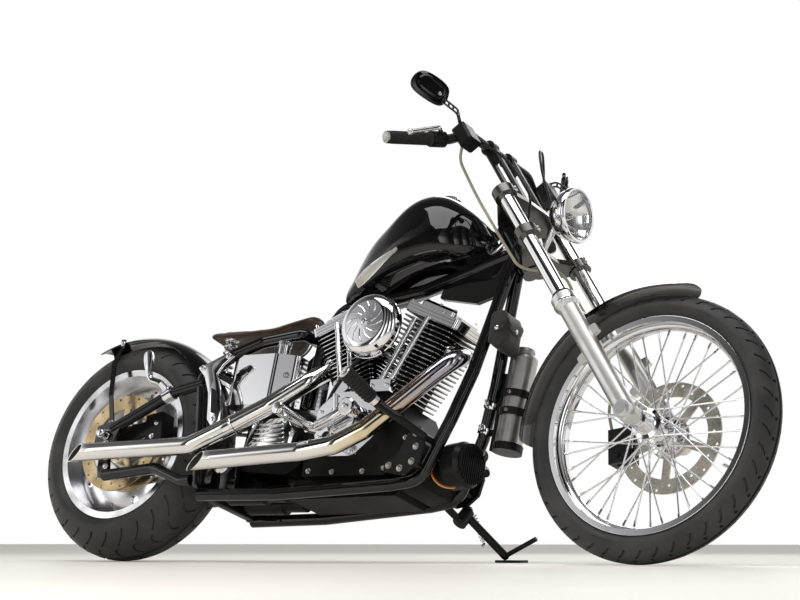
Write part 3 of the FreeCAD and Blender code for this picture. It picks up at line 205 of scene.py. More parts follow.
class Shape:
    """A mesh under construction, in millimetres of its own frame.

    Args:
        name: Name of the finished piece.
    """

    WASHER = 1.25
    WASHER_THICK = 0.18
    TAPER = 0.94
    CHAMFER = 0.1
    SOCKET = 0.5

    def __init__(self, name: str) -> None:
        """Start with an empty mesh."""
        self.name = name
        self.mesh = bmesh.new()

    @staticmethod
    def towards(base: Point, axis: Point) -> Matrix:
        """A matrix that puts local Z along an axis, from a base point."""
        turn = Vector(UP).rotation_difference(Vector(axis).normalized())
        return Matrix.Translation(Vector(base)) @ turn.to_matrix().to_4x4()

    def bevelled(self, edges: list[bmesh.types.BMEdge], width: float) -> None:
        """Bevel the given edges."""
        bmesh.ops.bevel(self.mesh, geom=edges, offset=width, affect="EDGES", segments=2, profile=0.5,
                        material=-1)

    def within(self, verts: set) -> list[bmesh.types.BMFace]:
        """The faces whose corners are all among the given points."""
        return [face for face in self.mesh.faces if all(vert in verts for vert in face.verts)]

    def raised(self, faces: list[bmesh.types.BMFace], shift: Vector) -> list[bmesh.types.BMVert]:
        """Extrude faces and move the new ones.

        Args:
            faces: What is extruded.
            shift: How far the new faces move.

        Returns:
            Their points.
        """
        made = bmesh.ops.extrude_face_region(self.mesh, geom=faces)["geom"]
        moved = [item for item in made if isinstance(item, bmesh.types.BMVert)]
        bmesh.ops.translate(self.mesh, verts=moved, vec=shift)
        return moved

    def rod(self, start: Point, end: Point, radius: float, top: float | None = None, sides: int = 24,
            bevel: float = 0.0) -> None:
        """Add a round or many-sided bar between two points.

        Args:
            start: First end.
            end: Second end.
            radius: Radius at the first end.
            top: Radius at the second end, or the same.
            sides: Number of sides.
            bevel: Width of the bevel round both ends.
        """
        start, end = Vector(start), Vector(end)
        length = (end - start).length
        matrix = self.towards(start, end - start) @ Matrix.Translation((0, 0, length / 2))
        made = bmesh.ops.create_cone(self.mesh, cap_ends=True, segments=sides, radius1=radius,
                                     radius2=radius if top is None else top, depth=length, matrix=matrix)
        if bevel:
            verts = set(made["verts"])
            rims = [edge for edge in self.mesh.edges if verts.issuperset(edge.verts)
                    and any(len(face.verts) > 4 for face in edge.link_faces)]
            self.bevelled(rims, bevel)

    def block(self, size: Point, matrix: Matrix, bevel: float = 1.0) -> None:
        """Add a box with bevelled edges.

        Args:
            size: Lengths along X, Y and Z.
            matrix: Where its middle goes.
            bevel: Width of the bevel.
        """
        made = bmesh.ops.create_cube(self.mesh, size=1.0, matrix=matrix @ Matrix.Diagonal((*size, 1.0)))
        verts = set(made["verts"])
        self.bevelled([edge for edge in self.mesh.edges if edge.verts[0] in verts], bevel)

    def turned(self, base: Point, axis: Point, outline: Outline, steps: int = 48) -> None:
        """Add a turned shape from an outline of (along, radius) points.

        Args:
            base: Where the outline's zero lies.
            axis: The axis of the turning.
            outline: Points from one end to the other.
            steps: Number of steps round.
        """
        before = set(self.mesh.faces)
        matrix = self.towards(base, axis)
        verts = [self.mesh.verts.new(matrix @ Vector((radius, 0, along))) for along, radius in outline]
        edges = [self.mesh.edges.new(pair) for pair in zip(verts, verts[1:])]
        bmesh.ops.spin(self.mesh, geom=verts + edges, cent=matrix.translation,
                       axis=matrix.to_3x3() @ Vector(UP), angle=math.tau, steps=steps, use_merge=True)
        bmesh.ops.remove_doubles(self.mesh, verts=self.mesh.verts, dist=0.001)
        made = [face for face in self.mesh.faces if face not in before]
        bmesh.ops.recalc_face_normals(self.mesh, faces=made)

    def bolt(self, base: Point, axis: Point, radius: float, height: float, sides: int = 6) -> None:
        """Add a bolt head on a thin washer; many sides make a round cap with a socket.

        Args:
            base: Where the head meets the surface.
            axis: The way that the bolt points out.
            radius: Radius of the head.
            height: Height of the head.
            sides: 6 for a hexagon, more for a round head.
        """
        base = Vector(base)
        out = Vector(axis).normalized()
        self.rod(base - out * 1.0, base + out * height * self.WASHER_THICK, radius * self.WASHER, sides=20)
        self.rod(base, base + out * height, radius, radius * self.TAPER, sides, radius * self.CHAMFER)
        if sides > 6:
            top = base + out * (height + 0.02)
            self.rod(top, top + out * 0.05, radius * self.SOCKET, sides=6)

    def swept(self, points: Sequence[Point], radius: float, sides: int = 14, closed: bool = False) -> None:
        """Add a round tube that follows a smooth line through points.

        Args:
            points: Control points of the line.
            radius: Radius of the tube.
            sides: Sides of its section.
            closed: Whether the line closes on itself.
        """
        curve = bpy.data.curves.new(self.name + "_path", "CURVE")
        curve.dimensions = "3D"
        spline = curve.splines.new("NURBS")
        spline.points.add(len(points) - 1)
        for target, point in zip(spline.points, points):
            target.co = (*point, 1.0)
        spline.order_u = 3
        spline.use_endpoint_u = not closed
        spline.use_cyclic_u = closed
        spline.resolution_u = 8
        curve.bevel_depth = radius
        curve.bevel_resolution = max(1, sides // 4)
        curve.use_fill_caps = not closed
        holder = bpy.data.objects.new(self.name + "_path", curve)
        mesh = bpy.data.meshes.new_from_object(holder)
        self.mesh.from_mesh(mesh)
        bpy.data.objects.remove(holder)
        bpy.data.curves.remove(curve)
        bpy.data.meshes.remove(mesh)

    def taken(self, piece: bpy.types.Object, matrix: Matrix) -> None:
        """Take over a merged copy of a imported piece's mesh.

        Args:
            piece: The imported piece, which stays as it is.
            matrix: The frame, in metres, that this shape is made in, in millimetres.
        """
        self.mesh.from_mesh(piece.data)
        self.mesh.transform(Matrix.Scale(1 / MM, 4) @ matrix.inverted())
        bmesh.ops.remove_doubles(self.mesh, verts=self.mesh.verts, dist=0.01)

    def cut(self, faces: set, place: Point, normal: Point, rim: bool = False) -> None:
        """Cut the given faces by a plane and drop what lies beyond it.

        Args:
            faces: What is cut.
            place: A point of the plane.
            normal: The side that is dropped.
            rim: Whether to close the wall between the two cut lines.
        """
        edges = {edge for face in faces for edge in face.edges}
        verts = {vert for face in faces for vert in face.verts}
        made = bmesh.ops.bisect_plane(self.mesh, geom=[*verts, *edges, *faces], plane_co=place,
                                      plane_no=normal, clear_outer=True)["geom_cut"]
        if rim:
            lines = [item for item in made if isinstance(item, bmesh.types.BMEdge)]
            bmesh.ops.bridge_loops(self.mesh, edges=lines)

    def island(self, spot: Point) -> set:
        """The faces joined to the one nearest a point.

        Args:
            spot: The point.

        Returns:
            All faces of that solid.
        """
        near = Vector(spot)
        first = min(self.mesh.verts, key=lambda vert: (vert.co - near).length_squared)
        seen = {first}
        waiting = [first]
        while waiting:
            for edge in waiting.pop().link_edges:
                for vert in edge.verts:
                    if vert not in seen:
                        seen.add(vert)
                        waiting.append(vert)
        return {face for vert in seen for face in vert.link_faces}

    def slab(self, outline: Outline, matrix: Matrix, low: float, high: float, bevel: float) -> None:
        """Add a flat plate: an outline in the matrix's XY plane, raised along its Z.

        Args:
            outline: Corners of the plate.
            matrix: The plate's plane.
            low: Height of its lower face.
            high: Height of its upper face.
            bevel: Width of the bevel round its edges.
        """
        verts = [self.mesh.verts.new(matrix @ Vector((u, v, low))) for u, v in outline]
        face = self.mesh.faces.new(verts)
        whole = set(verts + self.raised([face], matrix.to_3x3() @ Vector((0, 0, high - low))))
        bmesh.ops.recalc_face_normals(self.mesh, faces=self.within(whole))
        if bevel:
            self.bevelled([edge for edge in self.mesh.edges if whole.issuperset(edge.verts)], bevel)

    def coil(self, start: Point, end: Point, radius: float, wire: float, turns: int) -> None:
        """Add a coil spring between two points.

        Args:
            start: Middle of one end.
            end: Middle of the other end.
            radius: Radius of the coil.
            wire: Radius of its wire.
            turns: Number of turns.
        """
        start, end = Vector(start), Vector(end)
        matrix = self.towards(start, end - start)
        length = (end - start).length
        count = turns * 10
        points = []
        for step in range(count + 1):
            angle = math.tau * turns * step / count
            across, over = radius * math.cos(angle), radius * math.sin(angle)
            points.append(matrix @ Vector((across, over, length * step / count)))
        self.swept(points, wire, 10)

    def patch(self, surface: "Draper", place: Callable[[float, float], Point], way: Point,
              cells: tuple[int, int], lift: float, thick: float) -> None:
        """Add a thin sheet that lies on a finished surface.

        Args:
            surface: What it lies on.
            place: Gives a point outside the surface for two shares from 0 to 1.
            way: The way in which the sheet is pressed on.
            cells: Cells along and across.
            lift: Height of its underside over the surface.
            thick: Thickness of the sheet.
        """
        made = bmesh.ops.create_grid(self.mesh, x_segments=cells[0], y_segments=cells[1], size=0.5)
        verts = made["verts"]
        for vert in verts:
            vert.co = surface.lifted(place(vert.co.x + 0.5, vert.co.y + 0.5), way, lift)
        whole = set(verts)
        whole.update(self.raised(self.within(whole), -Vector(way).normalized() * thick))
        bmesh.ops.recalc_face_normals(self.mesh, faces=self.within(whole))

    def finish(self, place: Place, coat: Coat, smooth: float = 35.0, replaces: Iterable[str] = ()) -> None:
        """Make the object: place its mesh, give it its finish and let it ride on its body.

        Args:
            place: The shape's own frame and the body that carries it.
            coat: Its finish.
            smooth: Angle in degrees under which edges are shaded smooth.
            replaces: Nodes that this piece stands for.
        """
        self.mesh.transform(place.matrix @ Matrix.Scale(MM, 4))
        data = bpy.data.meshes.new(self.name)
        self.mesh.to_mesh(data)
        self.mesh.free()
        data.materials.append(coat.material)
        piece = bpy.data.objects.new(self.name, data)
        bpy.context.scene.collection.objects.link(piece)
        data.shade_smooth()
        data.set_sharp_from_angle(angle=math.radians(smooth))
        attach(piece, place.body.value)
        if replaces:
            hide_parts(*replaces)
        LOG.info("made %s", self.name)


def rounded(outline: Outline, rounds: int = 3) -> Outline:
    """Round an outline's corners by cutting them off again and again.

    Args:
        outline: Its corners.
        rounds: How many times they are cut.

    Returns:
        The rounded outline.
    """
    for _ in range(rounds):
        corners = []
        for (u, v), (next_u, next_v) in zip(outline, [*outline[1:], outline[0]]):
            corners.append((u * 0.75 + next_u * 0.25, v * 0.75 + next_v * 0.25))
            corners.append((u * 0.25 + next_u * 0.75, v * 0.25 + next_v * 0.75))
        outline = corners
    return outline


class Draper:
    """A finished surface that thin pieces are laid on.

    Args:
        piece: The object whose surface it is.
        matrix: The frame, in metres, that the answers are given in, in millimetres.
    """

    def __init__(self, piece: bpy.types.Object, matrix: Matrix) -> None:
        """Index the surface.

        Args:
            piece: The piece that has it.
            matrix: The frame that points are given in.
        """
        mesh = bmesh.new()
        mesh.from_mesh(piece.data)
        mesh.transform(Matrix.Scale(1 / MM, 4) @ matrix.inverted())
        self.tree = BVHTree.FromBMesh(mesh)
        mesh.free()

    def lifted(self, start: Point, way: Point, lift: float) -> Vector:
        """Where a straight line first meets the surface, raised off it.

        Args:
            start: A point outside it.
            way: The line's direction.
            lift: How far to raise the answer against that direction.

        Returns:
            The raised point, or the nearest one on the surface where the line misses it.
        """
        aim = Vector(way).normalized()
        spot, _, _, _ = self.tree.ray_cast(Vector(start), aim)
        if spot is None:
            spot, _, _, _ = self.tree.find_nearest(Vector(start))
        return spot - aim * lift


class Surface:
    """A material under construction, with short calls for its nodes.

    Args:
        name: Name of the material.
    """

    def __init__(self, name: str) -> None:
        """Start with a principled shader on an output.

        Args:
            name: Name of the material.
        """
        self.material = bpy.data.materials.new(name)
        self.material.use_nodes = True
        self.tree = self.material.node_tree
        self.shader = self.tree.nodes["Principled BSDF"]
        self.place = self.add("ShaderNodeTexCoord").outputs["Object"]

    def add(self, kind: str, inputs: dict | None = None, **settings: object) -> bpy.types.Node:
        """Add a node, set its properties and its inputs.

        Args:
            kind: Blender's name of the node type.
            inputs: Values or sockets for its inputs, by name.
            **settings: Properties of the node.

        Returns:
            The node.
        """
        node = self.tree.nodes.new(kind)
        for key, value in settings.items():
            setattr(node, key, value)
        for key, value in (inputs or {}).items():
            self.plug(value, node.inputs[key])
        return node

    def plug(self, value: object, socket: bpy.types.NodeSocket) -> None:
        """Link a socket, or set a plain value.

        Args:
            value: The socket or value.
            socket: The input that takes it.
        """
        if isinstance(value, bpy.types.NodeSocket):
            self.tree.links.new(value, socket)
        else:
            socket.default_value = value

    def base(self, **values: object) -> None:
        """Set or link the shader's own inputs; underscores stand for spaces."""
        for key, value in values.items():
            self.plug(value, self.shader.inputs[key.replace("_", " ")])

    def noise(self, scale: float, detail: float, stretch: Point | None = None) -> bpy.types.NodeSocket:
        """A noise pattern on the object's own coordinates.

        Args:
            scale: Cells per metre.
            detail: Octaves.
            stretch: Scale along each axis, for a brushed or drawn grain.

        Returns:
            The pattern's value.
        """
        source = self.place
        if stretch is not None:
            source = self.add("ShaderNodeMapping", {"Vector": source, "Scale": stretch}).outputs[0]
        return self.add("ShaderNodeTexNoise", {"Vector": source, "Scale": scale, "Detail": detail}).outputs[0]

    def spread(self, value: bpy.types.NodeSocket, low: float, high: float, start: float = 0.3,
               end: float = 0.7) -> bpy.types.NodeSocket:
        """Map a pattern onto a range of values."""
        return self.add("ShaderNodeMapRange", {"Value": value, "From Min": start, "From Max": end,
                                               "To Min": low, "To Max": high}).outputs[0]

    def tones(self, value: bpy.types.NodeSocket, *stops: tuple[float, Point]) -> bpy.types.NodeSocket:
        """Map a pattern onto colours at the given places.

        Args:
            value: The pattern.
            stops: Pairs of a place and its colour.

        Returns:
            The colours.
        """
        ramp = self.add("ShaderNodeValToRGB", {"Fac": value})
        marks = ramp.color_ramp.elements
        while len(marks) < len(stops):
            marks.new(0.5)
        for mark, (place, colour) in zip(marks, stops):
            mark.position = place
            mark.color = (*colour, 1.0)
        return ramp.outputs[0]

    def relief(self, height: bpy.types.NodeSocket, strength: float, depth: float) -> None:
        """Add bump from a height pattern, on top of any already there.

        Args:
            height: The pattern.
            strength: How much of it shows.
            depth: Its depth in metres.
        """
        before = self.shader.inputs["Normal"]
        inputs = {"Height": height, "Strength": strength, "Distance": depth}
        if before.links:
            inputs["Normal"] = before.links[0].from_socket
        bump = self.add("ShaderNodeBump", inputs)
        self.tree.links.new(bump.outputs[0], before)


def shade(colour: Point, factor: float) -> tuple:
    """A colour made lighter or darker, kept under 1."""
    return tuple(min(channel * factor, 1.0) for channel in colour)


class Finish:
    """What every finish of the machine can do."""

    def make(self) -> bpy.types.Material:
        """Build the material."""
        raise NotImplementedError

    def coat(self, slot: str = "") -> Coat:
        """Build the material and join it to the record's slot that it stands for."""
        return Coat(self.make(), slot)


@dataclass(frozen=True)
class Plated(Finish):
    """Chrome, polished or brushed metal, with smears, fine scratches and an uneven sheen.

    Attributes:
        smear: How much rougher its dull places are.
        grain: Fine marks per metre.
        stained: How much of it is stained, from 0 to 1.
    """

    name: str
    colour: Point
    rough: float
    smear: float = 0.08
    grain: float = 900.0
    depth: float = 0.00002
    stain: Point = (0.45, 0.40, 0.34)
    stained: float = 0.15

    def make(self) -> bpy.types.Material:
        """Build the material.

        Returns:
            The material.
        """
        surface = Surface(self.name)
        wide = surface.noise(14.0, 6.0)
        fine = surface.noise(self.grain, 3.0)
        edge = 1.0 - self.stained
        tones = surface.tones(wide, (0.0, self.colour), (max(edge - 0.25, 0.02), shade(self.colour, 0.96)),
                              (min(edge + 0.2, 1.0), self.stain))
        surface.base(Base_Color=tones, Metallic=1.0,
                     Roughness=surface.spread(wide, self.rough, self.rough + self.smear, 0.35, 0.7))
        surface.relief(fine, 0.25, self.depth)
        return surface.material


@dataclass(frozen=True)
class Drawn(Finish):
    """Bare metal with a grain drawn along one way."""

    name: str
    colour: Point
    rough: float
    stretch: Point = (1.0, 1.0, 0.04)

    def make(self) -> bpy.types.Material:
        """Build the material.

        Returns:
            The material.
        """
        surface = Surface(self.name)
        grain = surface.noise(700.0, 5.0, self.stretch)
        wide = surface.noise(20.0, 4.0)
        surface.base(Base_Color=surface.tones(wide, (0.25, shade(self.colour, 0.8)), (0.7, self.colour)),
                     Metallic=1.0, Roughness=surface.spread(grain, self.rough - 0.07, self.rough + 0.1))
        surface.relief(grain, 0.35, 0.00003)
        return surface.material


@dataclass(frozen=True)
class Painted(Finish):
    """Paint under a clear coat, with a faint ripple, dust and tone changes.

    Attributes:
        dust: How much paler its dusty places are.
    """

    name: str
    colour: Point
    rough: float
    clear: float = 1.0
    dust: float = 2.0
    ripple: float = 0.00004
    grain: float = 240.0
    shine: float = 0.3

    def make(self) -> bpy.types.Material:
        """Build the material.

        Returns:
            The material.
        """
        surface = Surface(self.name)
        wide = surface.noise(9.0, 6.0)
        tones = surface.tones(wide, (0.4, self.colour), (0.75, shade(self.colour, self.dust)))
        surface.base(Base_Color=tones,
                     Roughness=surface.spread(wide, self.rough, self.rough + 0.1, 0.4, 0.8),
                     Coat_Weight=self.clear, Coat_Roughness=0.03, Specular_IOR_Level=self.shine)
        surface.relief(surface.noise(self.grain, 3.0), 0.2, self.ripple)
        return surface.material


@dataclass(frozen=True)
class Rubber(Finish):
    """Tyre or grip rubber, dusty in places and finely pitted."""

    name: str
    colour: Point = (0.013, 0.013, 0.0135)
    dust: Point = (0.040, 0.038, 0.036)
    rough: float = 0.55

    def make(self) -> bpy.types.Material:
        """Build the material.

        Returns:
            The material.
        """
        surface = Surface(self.name)
        wide = surface.noise(11.0, 8.0)
        surface.base(Base_Color=surface.tones(wide, (0.42, self.colour), (0.8, self.dust)),
                     Roughness=surface.spread(wide, self.rough - 0.08, self.rough + 0.2),
                     Specular_IOR_Level=0.3)
        surface.relief(surface.noise(1800.0, 3.0), 0.35, 0.00012)
        surface.relief(surface.noise(160.0, 4.0), 0.25, 0.0002)
        return surface.material


@dataclass(frozen=True)
class Hide(Finish):
    """Leather with pores, creases and rubbed high places."""

    name: str
    colour: Point
    rubbed: Point
    pores: float = 620.0

    def make(self) -> bpy.types.Material:
        """Build the material.

        Returns:
            The material.
        """
        surface = Surface(self.name)
        wide = surface.noise(16.0, 7.0)
        cells = surface.add("ShaderNodeTexVoronoi", {"Vector": surface.place, "Scale": self.pores},
                            feature="DISTANCE_TO_EDGE").outputs[0]
        surface.base(Base_Color=surface.tones(wide, (0.3, shade(self.colour, 0.7)), (0.5, self.colour),
                                              (0.75, self.rubbed)),
                     Roughness=surface.spread(wide, 0.42, 0.68), Sheen_Weight=0.12)
        surface.relief(surface.spread(cells, 0.0, 1.0, 0.0, 0.25), 0.45, 0.0003)
        surface.relief(surface.noise(45.0, 5.0), 0.3, 0.0012)
        return surface.material


@dataclass(frozen=True)
class Glass(Finish):
    """Clear lens glass with a little dust."""

    name: str
    colour: Point = (0.97, 0.98, 0.98)

    def make(self) -> bpy.types.Material:
        """Build the material.

        Returns:
            The material.
        """
        surface = Surface(self.name)
        surface.base(Base_Color=(*self.colour, 1.0), Transmission_Weight=1.0, IOR=1.45,
                     Roughness=surface.spread(surface.noise(40.0, 4.0), 0.0, 0.06))
        return surface.material


@dataclass(frozen=True)
class Bronzed(Finish):
    """Chrome on a hot pipe: bright metal that turns straw coloured and blue near the engine.

    Attributes:
        hot: Where the hottest place lies along X, in metres.
        cool: Where the colours have faded.
    """

    name: str
    colour: Point = (0.83, 0.82, 0.80)
    hot: float = 0.24
    cool: float = -0.02
    straw: Point = (0.78, 0.68, 0.46)
    brown: Point = (0.55, 0.42, 0.33)
    blue: Point = (0.42, 0.40, 0.45)

    def make(self) -> bpy.types.Material:
        """Build the material.

        Returns:
            The material.
        """
        surface = Surface(self.name)
        along = surface.add("ShaderNodeSeparateXYZ", {"Vector": surface.place}).outputs[0]
        wobble = surface.noise(30.0, 4.0)
        mixed = surface.add("ShaderNodeMath", {0: along, 1: surface.spread(wobble, -0.03, 0.03)},
                            operation="ADD").outputs[0]
        heat = surface.spread(mixed, 0.0, 1.0, self.cool, self.hot)
        tones = surface.tones(heat, (0.0, self.colour), (0.45, self.straw), (0.75, self.brown),
                              (1.0, self.blue))
        surface.base(Base_Color=tones, Metallic=1.0, Roughness=surface.spread(wobble, 0.05, 0.13))
        surface.relief(surface.noise(700.0, 3.0), 0.2, 0.00001)
        return surface.material


class Finishes:
    """Every finish of the machine, made once."""

    def __init__(self) -> None:
        """Build the materials."""
        self.chrome = Plated("chrome", (0.86, 0.86, 0.88), 0.035, 0.05).coat("chrome")
        self.alloy = Plated("polished_alloy", (0.80, 0.80, 0.82), 0.12, 0.16, 500.0, 0.00004,
                            (0.55, 0.53, 0.50), 0.3).coat("polished_alloy")
        self.satin = Plated("satin_alloy", (0.84, 0.84, 0.83), 0.34, 0.12, 700.0, 0.00006,
                            (0.58, 0.55, 0.50), 0.3).coat()
        self.clamp = Plated("dull_clamp", (0.14, 0.135, 0.13), 0.18, 0.12, 600.0, 0.00004,
                            (0.10, 0.09, 0.08), 0.3).coat()
        self.disc = Drawn("disc_steel", (0.66, 0.62, 0.54), 0.24, (1.0, 0.2, 1.0)).coat("steel")
        self.gilded = Plated("gilded_steel", (0.72, 0.57, 0.34), 0.20, 0.15, 600.0, 0.00003,
                             (0.42, 0.30, 0.16), 0.4).coat()
        self.steel = Drawn("bare_steel", (0.58, 0.57, 0.55), 0.3).coat("steel")
        self.bottle = Drawn("drawn_steel", (0.55, 0.54, 0.52), 0.36, (1.0, 1.0, 0.05)).coat("steel")
        self.bolts = Plated("bolt_zinc", (0.66, 0.65, 0.62), 0.2, 0.15, 900.0, 0.00003,
                            (0.35, 0.28, 0.2), 0.35).coat("steel")
        self.gloss = Painted("gloss_black", (0.003, 0.003, 0.0035), 0.12, shine=0.02).coat("gloss_black")
        self.mirror_black = Coat(self.gloss.material, "black_paint")
        self.satin_black = Painted("satin_black", (0.005, 0.005, 0.0055), 0.34, 0.10, 2.4, 0.00008, 500.0,
                                   0.16).coat("black_paint")
        self.engine_black = Painted("engine_black", (0.004, 0.004, 0.004), 0.42, 0.0, 3.0, 0.0002, 900.0,
                                    0.1).coat("black_paint")
        self.tyre = Rubber("tyre_rubber", (0.030, 0.030, 0.0305), (0.058, 0.057, 0.056), 0.46).coat("tyre")
        self.rubber = Rubber("soft_rubber", (0.009, 0.009, 0.0095), (0.022, 0.022, 0.022), 0.5).coat("rubber")
        self.cable = Rubber("cable_cover", (0.007, 0.007, 0.007), (0.016, 0.016, 0.016), 0.32).coat("rubber")
        self.yellow_wire = Rubber("yellow_cover", (0.62, 0.42, 0.02), (0.70, 0.52, 0.08), 0.4).coat("rubber")
        self.hose = Rubber("braided_hose", (0.30, 0.27, 0.20), (0.42, 0.38, 0.29), 0.35).coat()
        self.seat_hide = Hide("brown_hide", (0.075, 0.045, 0.030), (0.16, 0.10, 0.065)).coat("brown_leather")
        self.black_hide = Hide("black_hide", (0.008, 0.0075, 0.007),
                               (0.022, 0.020, 0.018)).coat("black_leather")
        self.thread = Rubber("waxed_thread", (0.28, 0.22, 0.15), (0.36, 0.30, 0.22),
                             0.6).coat("brown_leather")
        self.glass = Glass("lens_glass").coat()
        self.red_wire = Painted("red_lens", (0.20, 0.008, 0.006), 0.12, 1.0, 1.4).coat("rubber")
        self.pipe = Bronzed("pipe_chrome").coat("chrome")
        # One dark finish: real soot inside the pipes, dark seams on the rocker boxes, and painted shade in
        # the hub's drilled holes.
        self.soot_and_shade = Painted("soot_and_painted_shade", (0.012, 0.011, 0.010), 0.8, 0.0, 3.0).coat()
        self.badge = Plated("blank_badge", (0.62, 0.61, 0.58), 0.3, 0.14, 1200.0, 0.00004,
                            (0.5, 0.47, 0.4), 0.4).coat("polished_alloy")
        self.mirror = Plated("mirror_glass", (0.9, 0.91, 0.92), 0.01, 0.02, 600.0,
                             0.000002).coat("clear_glass")

    def dress(self, nodes: dict) -> None:
        """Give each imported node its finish.

        Args:
            nodes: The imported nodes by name.
        """
        plan = (
            (self.chrome, "front_rim front_hub_spokes front_axle headlight fork_tubes cam_cover "
                          "pushrod_tubes air_cleaner tank_cap seat_springs side_arm passenger_pegs rear_axle "
                          "oil_tank rocker_boxes"),
            (self.clamp, "triple_clamps"),
            (self.alloy, "rear_disc_wheel levers primary_cover carburettor"),
            (self.satin, "fork_legs"),
            (self.disc, "front_rotor"),
            (self.gilded, "rear_rotor"),
            (self.gloss, "frame_backbone frame_cradle frame_rear swing_arms fuel_tank front_fender "
                         "rear_fender fender_struts"),
            (self.satin_black, "handlebar risers bar_controls mirrors front_caliper rear_caliper "
                               "foot_controls regulator bottle_holder stand_leg stand_bracket rear_pulley"),
            (self.engine_black, "engine_case cylinders gearbox"),
            (self.tyre, "front_tyre rear_tyre"),
            (self.rubber, "grips rider_pegs drive_belt"),
            (self.cable, "bar_cables"),
            (self.hose, "brake_hose"),
            (self.bottle, "bottle"),
            (self.pipe, "exhaust_pipes"),
            (self.glass, "headlight_lens"),
            (self.seat_hide, "seat"),
            (self.black_hide, "tool_pouch"),
        )
        for coat, names in plan:
            for name in names.split():
                data = nodes[name].data
                data.materials.clear()
                data.materials.append(coat.material)
        LOG.info("dressed %d nodes", len(nodes))


